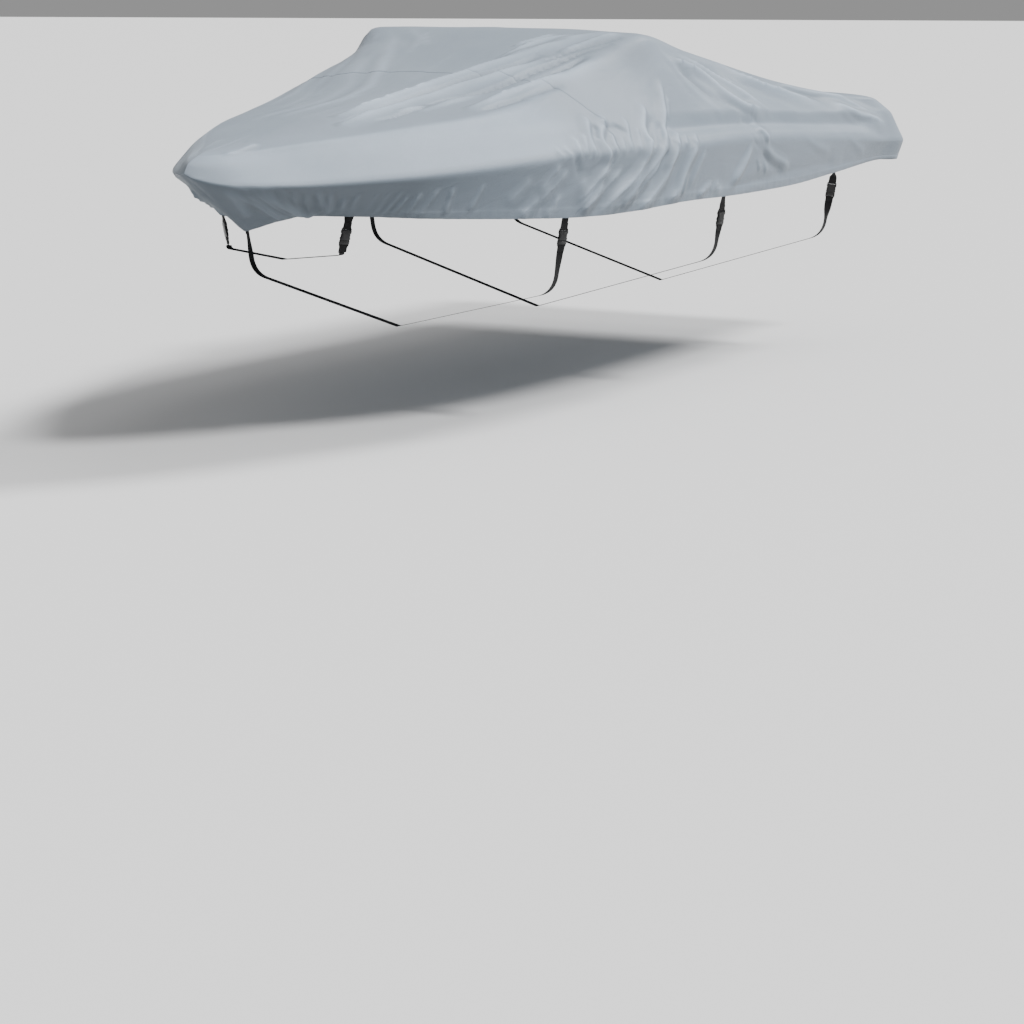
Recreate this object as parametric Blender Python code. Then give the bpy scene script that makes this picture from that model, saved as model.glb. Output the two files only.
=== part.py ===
# Fitted boat cover, drawn tight from bow to stern over a high peak amidships, with four webbing straps that pass
# underneath from hem to hem. It is a hollow sheet in two panels, in the shape in which it sits when it is buckled.
# Metres, +Z up, bow towards -Y, port towards +X.

import math

import bmesh
import bpy
import numpy as np
from mathutils import Vector

# cloth
CLOTH = 0.002            # thickness of the coated polyester
HEM = 0.0035             # thickness of the turned hem
HEM_WIDTH = 0.16         # share of the skirt's height, from the hem to the lip, that is hem
SEAM_GAP = 0.0003        # between the two panels at the cross seam
MIDDLE = 2.3187          # station that the cover is centred on
FOOT = 0.311             # height of the lowest strap above the ground, taken off every height below

# webbing
WEBBING = 0.002          # its thickness
WEBBING_WIDTH = 0.038
GAP = 0.0003             # clearance between pieces that touch
TAB_SEAT = 0.0010        # clearance between a tab and the hem that it is sewn behind
BAR_SEAT = 0.0005        # clearance between a bar's corners and the webbing bent round it
TAB_IN = 0.055           # length of tab sewn behind the skirt
TAB_DROP = 0.003         # how far below the hem the tab first bends
LAP = 0.025              # how far webbing is turned back on itself past a bar
NECK = 0.010             # where the two layers of a lap come together
TWIST = 0.14             # length in which a strap turns from its buckle to lie straight across

# The ribs run from the middle of the stern round the port quarter to the bow. Each names the points where it
# crosses the five feature lines, in millimetres: (station, half width, height above the ground). Stations count
# forward from a mark 95 mm inside the stern. "steps" is the number of mesh columns from this rib to the next, and
# "soft" how far the bend at the shoulder reaches along its two spans, in percent.
COLUMNS = ("steps", "soft", "hem", "lip", "edge", "shoulder", "crown")
RIBS = (
    (2, 34, (-70, 0, 895), (-95, 0, 1000), (-65, 0, 1130), (60, 0, 1222), (280, 0, 1236)),
    (3, 34, (-70, 440, 895), (-95, 450, 1000), (-65, 440, 1130), (60, 420, 1222), (310, 0, 1240)),
    (2, 34, (-68, 870, 897), (-93, 888, 998), (-62, 850, 1130), (65, 775, 1228), (360, 0, 1246)),
    (2, 32, (-40, 925, 903), (-68, 950, 1000), (-8, 900, 1138), (130, 835, 1234), (430, 0, 1254)),
    (4, 30, (200, 915, 911), (180, 944, 1010), (230, 890, 1150), (350, 815, 1246), (580, 0, 1268)),
    (5, 28, (780, 923, 882), (780, 946, 1045), (780, 885, 1170), (860, 740, 1306), (950, 0, 1330)),
    (6, 26, (1350, 930, 857), (1350, 954, 1075), (1350, 885, 1195), (1380, 680, 1400), (1400, 0, 1410)),
    (6, 22, (1930, 934, 854), (1900, 958, 1095), (1900, 885, 1218), (1900, 660, 1492), (1900, 0, 1498)),
    (2, 9, (2450, 923, 860), (2330, 953, 1096), (2320, 866, 1224), (2340, 692, 1550), (2340, 0, 1572)),
    (3, 9, (2600, 911, 856), (2450, 945, 1094), (2440, 854, 1225), (2445, 697, 1552), (2450, 0, 1578)),
    (4, 16, (2790, 891, 848), (2600, 934, 1094), (2610, 843, 1225), (2640, 638, 1500), (2660, 0, 1520)),
    (4, 24, (3020, 858, 843), (2790, 916, 1095), (2800, 823, 1224), (2860, 612, 1428), (2880, 0, 1456)),
    (4, 25, (3250, 802, 845), (2990, 888, 1095), (2990, 800, 1219), (3070, 604, 1366), (3070, 0, 1403)),
    (4, 26, (3450, 736, 853), (3230, 838, 1089), (3240, 745, 1209), (3300, 586, 1302), (3300, 0, 1342)),
    (5, 28, (3640, 652, 862), (3480, 768, 1075), (3490, 668, 1193), (3540, 555, 1258), (3560, 0, 1296)),
    (5, 30, (3910, 497, 878), (3880, 617, 1048), (3890, 510, 1160), (3920, 420, 1220), (3940, 0, 1254)),
    (5, 30, (4110, 300, 892), (4190, 455, 1030), (4190, 362, 1135), (4200, 290, 1188), (4200, 0, 1218)),
    (4, 30, (4240, 150, 891), (4450, 275, 1022), (4430, 198, 1115), (4410, 150, 1160), (4380, 0, 1188)),
    (2, 30, (4320, 55, 862), (4635, 118, 1030), (4608, 84, 1112), (4560, 65, 1145), (4500, 0, 1167)),
    (1, 30, (4362, 15, 845), (4720, 35, 1058), (4688, 25, 1115), (4630, 20, 1142), (4560, 0, 1158)),
    (0, 30, (4368, 0, 842), (4740, 0, 1078), (4710, 0, 1120), (4650, 0, 1143), (4580, 0, 1156)),
)
SEAM_RIB = 12            # the cross seam follows this rib
ROUNDING = (0.0, 0.12, 0.30)   # how far the bends at the lip and the edge reach along their two spans
ACROSS = (0.0, HEM_WIDTH, 0.5, 0.88, 1.0, 1.12, 1.45, 1.75, 2.0, 2.3, 2.7, 2.95, 3.04, 3.1, 3.175, 3.25,
          3.34, 3.43, 3.55, 3.75, 4.0)   # where the mesh rows lie: 0 on the hem, 1 on the lip, 4 on the crown
DRIFT = ((2.9, 0.0), (3.04, 0.12), (3.1, 0.19), (3.25, 0.18), (3.43, 0.27), (3.75, 0.13), (4.0, 0.0))
DRIFT_FROM, DRIFT_TO = 2.5, 3.95   # stations between which the rows on top drift inward along the folds there

# the starboard side stands a little prouder than the port one: how much higher each line runs there,
# at the bow and at the peak
STARBOARD_BOW = {"hem": 0.006, "lip": 0.035, "edge": 0.018, "shoulder": 0.004, "crown": 0.0}
STARBOARD_PEAK = {"hem": 0.0, "lip": 0.0, "edge": 0.0, "shoulder": 0.024, "crown": 0.0}

# Folds on top, as seen from above: (station, half width) where each starts and ends, its width and its height,
# all in millimetres. A fold with a negative height is a trough.
TOP_FOLDS = (
    ((2510, 400), (3870, 130), 60, 13),
    ((2500, 520), (4000, 215), 62, 15),
    ((2540, 625), (3900, 300), 60, 14),
    ((2560, 660), (3550, 465), 55, 10),
    ((2690, 680), (3230, 592), 55, 8),
    ((2640, 345), (2900, 210), 60, 6),
    ((4600, 75), (4400, 110), 50, 6),
)
# Folds on the sides, as seen square to the length: (station, height above the ground) where each starts and ends.
SIDE_FOLDS = (
    # from the peak aft and down to the edge
    ((2180, 1420), (1690, 1195), 65, -15),
    ((2120, 1480), (1430, 1340), 75, 15),
    ((1430, 1340), (860, 1230), 65, 12),
    ((1810, 1370), (1540, 1222), 60, 11),
    ((1610, 1352), (1300, 1262), 55, 8),
    ((660, 1222), (170, 1095), 75, 14),
    # short gathers over the lip
    ((3230, 1125), (3220, 1010), 50, 7),
    ((3100, 1170), (3140, 1080), 50, 7),
    ((3020, 1200), (3050, 1090), 50, 8),
    ((2850, 1208), (2915, 1090), 55, 8),
    ((2650, 1240), (2760, 1120), 55, 10),
    ((2465, 1325), (2660, 1105), 50, 12),
    ((2500, 1165), (2555, 1090), 45, 7),
    # slanting folds down the skirt
    ((3060, 1065), (3490, 866), 85, 15),
    ((2810, 1090), (3240, 858), 80, 17),
    ((2650, 1105), (3020, 880), 75, 16),
    ((2530, 1120), (2830, 870), 75, 17),
    ((2420, 1090), (2640, 870), 70, 13),
    ((2260, 930), (2370, 872), 45, 7),
    # the lump abaft the middle, and the folds down from it
    ((1770, 1175), (1700, 1060), 110, 14),
    ((1845, 1050), (2040, 905), 65, 12),
    ((1710, 1040), (1530, 935), 65, -9),
    # pleats at the bow
    ((4640, 1005), (4400, 862), 45, 8),
    ((4590, 1005), (4345, 880), 45, 9),
    ((4530, 1000), (4285, 888), 45, 9),
    ((4460, 992), (4245, 893), 45, 9),
    ((4370, 978), (4215, 896), 45, 8),
    ((4230, 976), (4130, 898), 45, 7),
    ((4085, 965), (4052, 896), 45, 6),
    ((4010, 960), (4010, 900), 45, 5),
)
STARBOARD_SHIFT = 0.045  # how far the starboard folds wander fore and aft from the port ones
STARBOARD_SHARE = 0.8    # and their height beside the port ones'
TAB_REACH = 0.07         # how far along the hem a tab holds it flat

# Straps from bow to stern, in millimetres: station, half width and height where the strap turns under, height of
# its lowest line, length of the tab from the hem to the buckle's bar, and how far the port buckle has swung to
# face the bow, in degrees.
STRAP_COLUMNS = ("station", "half", "height", "lowest", "tab", "swing")
STRAPS = (
    (4110, 262, 745, 716, 50, -30),
    (3285, 735, 545, 362, 44, 0),
    (2080, 884, 585, 318, 60, 12),
    (785, 868, 580, 312, 50, 50),
)
TURN_BEND = 0.07         # how far the bend where a strap turns under reaches
TURN_STEPS = 5           # sections round that bend
TWIST_STEPS = 6          # sections in a strap's twist, and in a tab's swing
BAR_STEPS = 6            # sections round a bar

# Side-release buckle, in millimetres: its length runs down from the middle of the bar that the tab is sewn round.
BAR = 1.6                # half the thickness of each webbing bar
HALF_WIDTH = 23.0
LEAN = 0.93              # how much narrower its front and back are than its middle
CHEEK = 19.4             # inner face of the cheeks at the sides
SOCKET_DEPTH = (3.5, 5.5)   # half the thickness of the socket's hollow and of its body
CLIP_DEPTH = (2.5, 4.5)     # half the thickness of the clip's arms and of its base
SOCKET_BODY = (8.0, 16.0, 44.0)   # where the socket's body starts, where its hollow starts, where it ends
WINDOW = (18.0, 34.0)    # the openings in its sides for the clip's pads
CLIP_BASE = (44.3, 58.0)
CLIP_BAR = 66.0          # the middle of the bar that the belly strap is sewn round
PAD = (20.0, 32.0)       # the pads that are pressed together to let the buckle go
ARM = (11.0, 16.0)       # inner and outer face of each sprung arm
GUIDE = (3.0, 30.0)      # half width and start of the guide between the arms

SHARP = 35               # edges that turn more than this, in degrees, stay sharp
CLOTH_COLOUR = (0.42, 0.46, 0.49)
WEBBING_COLOUR = (0.015, 0.015, 0.017)
BUCKLE_COLOUR = (0.02, 0.02, 0.022)


def mm(values):
    return np.array(values, float) * 0.001


def unit(vector):
    return vector / np.maximum(np.linalg.norm(vector, axis=-1, keepdims=True), 1e-9)


def along(points, steps):
    """Smooth curve through the ribs' points, sampled with the given number of steps in each span."""
    points = np.array(points, float)
    chord = np.maximum(np.linalg.norm(np.diff(points, axis=0), axis=1), 1e-4) ** 0.5
    knots = np.concatenate([[0.0], np.cumsum(chord)])
    slope = np.gradient(points, knots, axis=0)
    out = []
    for i, count in enumerate(steps):
        span = knots[i + 1] - knots[i]
        for k in range(count):
            f = k / count
            out.append((2 * f ** 3 - 3 * f ** 2 + 1) * points[i] + (f ** 3 - 2 * f ** 2 + f) * span * slope[i]
                       + (3 * f ** 2 - 2 * f ** 3) * points[i + 1] + (f ** 3 - f ** 2) * span * slope[i + 1])
    out.append(points[-1])
    return np.array(out)


def rib_point(bends, soft, q):
    """Point at q along a rib's five bends, 0 at the hem and 4 at the crown, with the bends rounded."""
    span = min(int(q), 3)
    for i in (1, 2, 3):
        reach = soft if i == 3 else ROUNDING[i]
        if abs(q - i) < reach:
            before = bends[i] + (bends[i - 1] - bends[i]) * reach
            after = bends[i] + (crown_point(bends, i + reach) - bends[i])
            f = (q - i + reach) / (2 * reach)
            return (1 - f) ** 2 * before + 2 * f * (1 - f) * bends[i] + f ** 2 * after
    if span == 3:
        return crown_point(bends, q)
    return bends[span] + (bends[span + 1] - bends[span]) * (q - span)


def crown_point(bends, q):
    """Point between two lines; from the shoulder to the crown the cloth levels out towards the middle."""
    span = min(int(q), 3)
    f = q - span
    point = bends[span] + (bends[span + 1] - bends[span]) * f
    if span == 3:
        point[2] = bends[3][2] + (bends[4][2] - bends[3][2]) * (1 - (1 - f) ** 2)
    return point


def cover_grid(side):
    """One half of the cover, port (1) or starboard (-1), as a grid of points (ribs, across, xyz)."""
    steps = [row[0] for row in RIBS[:-1]]
    lines = [along(mm([row[2 + i] for row in RIBS]), steps) for i in range(5)]
    if side < 0:
        for line, name in zip(lines, COLUMNS[2:]):
            station, side_share = line[:, 0], np.clip(line[:, 1] / 0.1, 0, 1)
            lift = STARBOARD_BOW[name] * smooth(3.5, 4.2, station)
            peak = STARBOARD_PEAK[name] * smooth(1.9, 2.35, station) * (1 - smooth(2.44, 2.64, station))
            line[:, 2] += (lift + peak) * side_share
    soft = along([(row[1],) for row in RIBS], steps)[:, 0] * 0.01
    grid = []
    for r, share in enumerate(soft):
        bends = [line[r] for line in lines]
        drift = np.clip((bends[3][0] - DRIFT_FROM) / (DRIFT_TO - DRIFT_FROM), 0, 1)
        places = np.array(ACROSS) + drift * np.interp(ACROSS, *zip(*DRIFT))
        grid.append([rib_point(bends, share, q) for q in places])
    grid = np.array(grid)
    station, half, height = grid[..., 0], grid[..., 1], grid[..., 2]
    return np.stack([side * half, MIDDLE - station, height - FOOT], axis=-1)


def smooth(low, high, value):
    """0 below low, 1 above high, and an even rise between them."""
    f = np.clip((value - low) / (high - low), 0, 1)
    return f * f * (3 - 2 * f)


def fold_field(folds, side, first, second):
    """Height of the folds over points whose two coordinates are first and second, in metres."""
    total = np.zeros_like(first)
    for number, (start, end, width, height) in enumerate(folds):
        start, end, width, height = mm(start), mm(end), width * 0.001, height * 0.001
        if side < 0:
            shift = STARBOARD_SHIFT * math.sin(2.3 * number + 1)
            start, end = start + (shift, 0), end + (shift, 0)
            height *= STARBOARD_SHARE + 0.2 * math.cos(1.7 * number)
        run = end - start
        share = ((first - start[0]) * run[0] + (second - start[1]) * run[1]) / (run @ run)
        held = np.clip(share, 0, 1)
        away = np.hypot(first - start[0] - held * run[0], second - start[1] - held * run[1])
        ends = smooth(-0.1, 0.2, share) * (1 - smooth(0.75, 1.1, share))
        total += height * ends * np.exp(-(away / (width / 2)) ** 2)
    return total


def folded(grid, side):
    """The grid with its folds: each point moves along the cloth's normal."""
    across = np.array(ACROSS)
    station, half, height = MIDDLE - grid[..., 1], side * grid[..., 0], grid[..., 2] + FOOT
    on_top = smooth(2.6, 3.0, across)
    rise = fold_field(TOP_FOLDS, side, station, half) * on_top
    beside = fold_field(SIDE_FOLDS, side, station, height) * (1 - on_top)
    for strap_station, *_ in STRAPS:      # the tabs hold the hem flat
        tab = np.exp(-((station - strap_station * 0.001) / TAB_REACH) ** 2)
        beside = beside * (1 - tab * (1 - smooth(0.2, 0.8, across)))
    return grid + normals(grid, side) * (rise + beside)[..., None]


def normals(grid, side):
    """Outward unit normals of a grid whose rows run forward and whose columns run up the port side."""
    return unit(np.cross(np.gradient(grid, axis=1), np.gradient(grid, axis=0)) * side)


def whole_cover():
    """Both halves side by side: (ribs, from the port hem over the crown to the starboard hem, xyz)."""
    port, starboard = (folded(cover_grid(side), side) for side in (1, -1))
    crown = (port[:, -1:] + starboard[:, -1:]) / 2
    crown[..., 0] = 0
    outer = np.concatenate([port[:, :-1], crown, starboard[:, -2::-1]], axis=1)
    for end in (0, -1):                   # the first and last ribs lie on the centreline, one over the other
        outer[end, :, 0] = 0
        outer[end] = (outer[end] + outer[end, ::-1]) / 2
    return outer


def panel(name, outer, inner, closed_row, seam_row, mat):
    """A sheet between two grids. Its closed row is folded onto itself at the centreline, its seam row is cut."""
    rows, columns = outer.shape[:2]

    def number(row, column, layer):
        if row == closed_row:
            column = min(column, columns - 1 - column)
        return (layer * rows + row) * columns + column

    points = np.concatenate([outer.reshape(-1, 3), inner.reshape(-1, 3)])
    faces = []
    for row in range(rows - 1):
        for column in range(columns - 1):
            around = ((row, column), (row + 1, column), (row + 1, column + 1), (row, column + 1))
            faces.append([number(r, c, 0) for r, c in around])
            faces.append([number(r, c, 1) for r, c in reversed(around)])
        for column in (0, columns - 1):   # the hem's lower edge
            faces.append([number(row, column, 0), number(row + 1, column, 0),
                          number(row + 1, column, 1), number(row, column, 1)])
    for column in range(columns - 1):     # the edge at the cross seam
        faces.append([number(seam_row, column, 0), number(seam_row, column + 1, 0),
                      number(seam_row, column + 1, 1), number(seam_row, column, 1)])
    used = sorted({i for face in faces for i in face})
    place = {old: new for new, old in enumerate(used)}
    faces = [list(dict.fromkeys(place[i] for i in face)) for face in faces]
    return mesh_object(name, points[used], [face for face in faces if len(face) > 2], mat)


def build_cloth():
    """The two panels, which meet at the cross seam. Returns the whole cover's outer and inner faces."""
    mat = material("coated_cloth", CLOTH_COLOUR, 0.62)
    outer = whole_cover()
    normal = normals(outer, 1)
    for end in (0, -1):
        normal[end, :, 0] = 0
        normal[end] = unit(normal[end] + normal[end, ::-1])
    across = np.array(ACROSS + ACROSS[-2::-1])
    thick = np.where(across <= HEM_WIDTH, HEM, CLOTH)
    inner = outer - normal * thick[None, :, None]
    seam = sum(row[0] for row in RIBS[:SEAM_RIB])
    apart = SEAM_GAP / 2 * unit(outer[seam + 1] - outer[seam - 1])
    for name, part, cut, closed, shift in (
            ("rear_panel", slice(0, seam + 1), seam, 0, -apart),
            ("front_panel", slice(seam, None), 0, len(outer) - 1 - seam, apart)):
        face, back = outer[part].copy(), inner[part].copy()
        face[cut] += shift
        back[cut] += shift
        panel(name, face, back, closed, cut, mat)
    return outer, inner


def material(name, colour, roughness):
    mat = bpy.data.materials.new(name)
    mat.use_nodes = True
    shader = mat.node_tree.nodes["Principled BSDF"]
    shader.inputs["Base Color"].default_value = (*colour, 1)
    shader.inputs["Roughness"].default_value = roughness
    return mat


def mesh_object(name, points, faces, mat, join_flat=False):
    """Closed mesh from points and faces, its seams welded and its faces turned out."""
    mesh = bpy.data.meshes.new(name)
    bm = bmesh.new()
    corners = [bm.verts.new(Vector(point)) for point in points]
    for face in faces:
        bm.faces.new([corners[i] for i in face])
    bmesh.ops.remove_doubles(bm, verts=bm.verts, dist=1e-6)
    bmesh.ops.recalc_face_normals(bm, faces=bm.faces)
    if join_flat:
        bmesh.ops.dissolve_limit(bm, angle_limit=math.radians(0.5), verts=bm.verts, edges=bm.edges)
    bm.to_mesh(mesh)
    bm.free()
    mesh.shade_smooth()
    mesh.set_sharp_from_angle(angle=math.radians(SHARP))
    mesh.materials.append(mat)
    obj = bpy.data.objects.new(name, mesh)
    bpy.context.collection.objects.link(obj)
    return obj


def ribbon(name, sections, mat):
    """Flat webbing swept through its sections: (point, direction across, direction outward)."""
    corners, faces = [], []
    for point, wide, out in sections:
        for a, b in ((-1, -1), (1, -1), (1, 1), (-1, 1)):
            corners.append(point + wide * a * WEBBING_WIDTH / 2 + out * b * WEBBING / 2)
    for i in range(0, 4 * len(sections) - 4, 4):
        faces += [[i + 1, i + 2, i + 6, i + 5], [i + 3, i, i + 4, i + 7]]
        # back and front are split along the same diagonal, so that they stay apart where the webbing twists
        faces += [[i, i + 1, i + 5], [i, i + 5, i + 4], [i + 2, i + 3, i + 6], [i + 3, i + 7, i + 6]]
    last = len(corners) - 4
    faces += [[3, 2, 1, 0], [last, last + 1, last + 2, last + 3]]
    return mesh_object(name, corners, faces, mat)


def between(grid, row, column):
    """Point of a grid at a row and column that may lie between its own."""
    i, j = int(row), int(column)
    u, v = row - i, column - j
    return ((grid[i, j] * (1 - u) + grid[i + 1, j] * u) * (1 - v)
            + (grid[i, j + 1] * (1 - u) + grid[i + 1, j + 1] * u) * v)


def hem_place(faces, side, station):
    """The hem at a station: its point, the directions forward along it, up the skirt and outward, and how far
    in from the point the skirt's inner face reaches behind a tab."""
    outer, inner = (face[:, ::side] for face in faces)
    row = np.interp(station - MIDDLE, -outer[:, 0, 1], np.arange(len(outer)))
    hem = between(outer, row, 0)
    fore = unit(between(outer, row + 0.5, 0) - between(outer, row - 0.5, 0))
    up = between(outer, row, 2) - hem
    up = unit(up - fore * (up @ fore))
    out = side * np.cross(up, fore)
    depth = 0.0
    for u in np.linspace(-1.5, 1.5, 25):
        for v in np.linspace(0, 2, 17):
            point = between(inner, row + u, v) - hem
            if abs(point @ fore) < WEBBING_WIDTH * 0.55 and point @ up < TAB_IN * 1.05:
                depth = max(depth, -point @ out)
    return hem, fore, up, out, depth


def strap_place(faces, side, strap):
    """Where a strap hangs on one side: its seat behind the hem, its buckle's directions, and where it turns."""
    place = dict(zip(STRAP_COLUMNS, mm(strap)))
    hem, fore, up, out, depth = hem_place(faces, side, place["station"])
    place["seat"] = hem - up * TAB_DROP - out * (depth + TAB_SEAT + WEBBING / 2)
    place["corner"] = np.array([side * place["half"], MIDDLE - place["station"], place["height"] - FOOT])
    place["down"] = unit(place["corner"] - place["seat"])
    place["hem_fore"], place["hem_up"], place["hem_out"] = fore, up, out
    place["swing"] = math.radians(strap[-1]) if side > 0 else 0.0
    place["wide"], place["out"] = swung(place, side, 1)
    place["bar"] = place["seat"] + place["down"] * place["tab"] + place["out"] * (WEBBING + GAP) / 2
    return place


def swung(place, side, share):
    """Directions across and outward, square to the strap, once it has made a share of its swing."""
    fore = unit(place["hem_fore"] - place["down"] * (place["hem_fore"] @ place["down"]))
    out = side * np.cross(fore, place["down"])
    turn = place["swing"] * share
    return math.cos(turn) * fore - math.sin(turn) * out, math.cos(turn) * out + math.sin(turn) * fore


def lap(place, along_bar, way):
    """Sections of webbing from behind a bar round to its front. way is 1 round the bar's lower side, -1 round
    its upper one."""
    near, reach = (WEBBING + GAP) / 2, mm(BAR) * math.sqrt(2) + BAR_SEAT + WEBBING / 2
    middle = place["bar"] + place["down"] * along_bar
    wide, down, out = place["wide"], place["down"] * way, place["out"]
    back = [(middle - down * LAP - out * near, wide, out), (middle - down * NECK - out * near, wide, out),
            (middle - down * mm(BAR) - out * reach, wide, out)]
    bend = []
    for k in range(BAR_STEPS + 1):
        angle = math.pi * k / BAR_STEPS
        inward = math.cos(angle) * out - math.sin(angle) * down
        bend.append((middle - reach * inward, wide, inward))
    front = [(point + 2 * out * ((middle - point) @ out), wide, -out) for point, _, _ in reversed(back)]
    return back + bend + front


def build_tab(name, place, side, mat):
    """Tab from behind the skirt, down round the socket's bar and back up its own front."""
    sections = [(place["seat"] + place["hem_up"] * (TAB_IN + TAB_DROP), place["hem_fore"], place["hem_out"])]
    free = place["tab"] - LAP
    for k in range(TWIST_STEPS + 1):
        share = k / (TWIST_STEPS + 1)
        wide, out = swung(place, side, share)
        if k == 0:
            wide, out = unit(wide + place["hem_fore"]), unit(out + place["hem_out"])
        sections.append((place["seat"] + place["down"] * free * share, wide, out))
    return ribbon(name, sections + lap(place, 0.0, 1), mat)


def strap_side(place, side):
    """Sections of a belly strap on one side, from the front of its lap down to the turn and in to the middle."""
    sections = lap(place, mm(CLIP_BAR), -1)[::-1]
    start, corner = sections[-1][0], place["corner"]
    lowest = np.array([0.0, corner[1], place["lowest"] - FOOT])
    length = np.linalg.norm(corner - start)
    bend = min(TURN_BEND, length * 0.6, np.linalg.norm(lowest - corner) * 0.5)
    fore = np.array([0.0, -1.0, 0.0])
    enter, leave = corner + unit(start - corner) * bend, corner + unit(lowest - corner) * bend
    twist = min(TWIST, length - bend)
    share = [k / TWIST_STEPS for k in range(1, TWIST_STEPS + 1)]
    path = [start + (enter - start) * f * twist / (length - bend) for f in share]
    for k in range(0 if twist < length - bend else 1, TURN_STEPS + 1):
        f = k / TURN_STEPS
        path.append((1 - f) ** 2 * enter + 2 * f * (1 - f) * corner + f ** 2 * leave)
        share.append(1.0)
    path.append(lowest)
    share.append(1.0)
    for k, point in enumerate(path):
        before = path[k - 1] if k else start
        after = path[k + 1] if k + 1 < len(path) else point * (-1, 1, 1)
        smoothed = smooth(0, 1, share[k])
        wide = unit(place["wide"] * (1 - smoothed) + fore * smoothed)
        run = unit(unit(point - before) + unit(after - point)) if k + 1 < len(path) else np.array([-side, 0.0, 0.0])
        wide = unit(wide - run * (wide @ run))
        sections.append((point, wide, side * np.cross(wide, run)))
    return sections


def build_belly_strap(name, port, starboard, mat):
    """Strap from the port clip, under the cover, to the starboard clip."""
    sections = strap_side(port, 1) + strap_side(starboard, -1)[-2::-1]
    return ribbon(name, sections, mat)


def block(name, across, down, out, filled, place, mat):
    """A moulded piece of square cells: filled(a, d, o) says which are solid, by their middles in millimetres."""
    edges = (across, down, out)
    middles = [[(low + high) / 2 for low, high in zip(values, values[1:])] for values in edges]
    solid = {(i, j, k) for i, a in enumerate(middles[0]) for j, d in enumerate(middles[1])
             for k, o in enumerate(middles[2]) if filled(abs(a), d, abs(o))}
    axes = (place["wide"], place["down"], place["out"])
    numbers, points, faces = {}, [], []

    def corner(key):
        if key not in numbers:
            numbers[key] = len(points)
            a, d, o = (values[i] for values, i in zip(edges, key))
            if abs(o) == out[-1]:          # the sides of the thickest part lean in, as moulded ones do
                a *= LEAN
            points.append(place["bar"] + sum(mm(value) * axis for value, axis in zip((a, d, o), axes)))
        return numbers[key]

    for cell in sorted(solid):
        for axis in range(3):
            for way in (0, 1):
                beside = list(cell)
                beside[axis] += 2 * way - 1
                if tuple(beside) in solid:
                    continue
                face = []
                for u, v in ((0, 0), (1, 0), (1, 1), (0, 1)):
                    key = list(cell)
                    key[axis] += way
                    key[(axis + 1) % 3] += u
                    key[(axis + 2) % 3] += v
                    face.append(corner(tuple(key)))
                faces.append(face)
    return mesh_object(name, points, faces, mat, join_flat=True)


def in_socket(a, d, o):
    """Socket half: a bar for the tab between two cheeks, and a hollow body with a window in each side."""
    body, hollow, _ = SOCKET_BODY
    if d < BAR:
        return o < BAR
    if d < body:
        return a > CHEEK and o < SOCKET_DEPTH[0]
    if d < hollow or o > SOCKET_DEPTH[0]:
        return True
    return a > CHEEK and not WINDOW[0] < d < WINDOW[1]


def in_clip(a, d, o):
    """Clip half: two sprung arms with thumb pads, a guide, a base and a bar for the belly strap."""
    base, slot = CLIP_BASE
    if d > CLIP_BAR - BAR:
        return o < BAR
    if d > slot:
        return a > CHEEK and o < CLIP_DEPTH[0]
    if d > base:
        return True
    if o > CLIP_DEPTH[0]:
        return False
    arm = ARM[0] < a < ARM[1] and d > PAD[0]
    pad = a > ARM[0] and PAD[0] < d < PAD[1]
    return arm or pad or (a < GUIDE[0] and d > GUIDE[1])


def both_ways(*values):
    """The values on both sides of nought."""
    return [-value for value in reversed(values)] + list(values)


def build_buckle(end, place, mat):
    """Both halves of a buckle, pushed home."""
    body, hollow, mouth = SOCKET_BODY
    block("socket_" + end, both_ways(CHEEK, HALF_WIDTH), [-BAR, BAR, body, hollow, *WINDOW, mouth],
          both_ways(BAR, *SOCKET_DEPTH), in_socket, place, mat)
    block("clip_" + end, both_ways(GUIDE[0], *ARM, CHEEK, HALF_WIDTH),
          [PAD[0], GUIDE[1], PAD[1], *CLIP_BASE, CLIP_BAR - BAR, CLIP_BAR + BAR],
          both_ways(BAR, *CLIP_DEPTH), in_clip, place, mat)


def build_straps(faces):
    """Four straps, each with a tab and a buckle at its two ends."""
    webbing = material("black_webbing", WEBBING_COLOUR, 0.75)
    plastic = material("black_plastic", BUCKLE_COLOUR, 0.4)
    for number, strap in enumerate(STRAPS, 1):
        places = {}
        for side, word in ((1, "port"), (-1, "starboard")):
            end = f"{word}_{number}"
            places[side] = strap_place(faces, side, strap)
            build_tab("tab_" + end, places[side], side, webbing)
            build_buckle(end, places[side], plastic)
        build_belly_strap(f"belly_strap_{number}", places[1], places[-1], webbing)


def main():
    for obj in list(bpy.data.objects):
        bpy.data.objects.remove(obj, do_unlink=True)
    build_straps(build_cloth())


main()
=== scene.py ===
# Looks for the fitted cover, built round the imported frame. Metres, bow towards -Y, port towards +X.
import math

import bmesh
import bpy
import numpy as np
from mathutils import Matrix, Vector


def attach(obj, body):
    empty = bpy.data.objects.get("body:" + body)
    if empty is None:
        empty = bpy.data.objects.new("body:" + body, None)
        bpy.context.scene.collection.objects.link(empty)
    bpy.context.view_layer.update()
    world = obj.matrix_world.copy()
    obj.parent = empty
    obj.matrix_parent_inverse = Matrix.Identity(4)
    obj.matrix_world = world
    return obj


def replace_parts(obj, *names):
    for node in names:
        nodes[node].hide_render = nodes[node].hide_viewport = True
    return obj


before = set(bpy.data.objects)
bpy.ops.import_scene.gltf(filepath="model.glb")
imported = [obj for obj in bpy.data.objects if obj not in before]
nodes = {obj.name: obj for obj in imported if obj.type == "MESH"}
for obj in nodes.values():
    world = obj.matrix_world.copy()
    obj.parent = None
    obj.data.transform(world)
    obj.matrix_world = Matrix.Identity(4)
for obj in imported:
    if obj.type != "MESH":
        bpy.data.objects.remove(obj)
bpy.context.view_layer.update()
made = []          # every piece, to ride on the one body at the end


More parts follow.
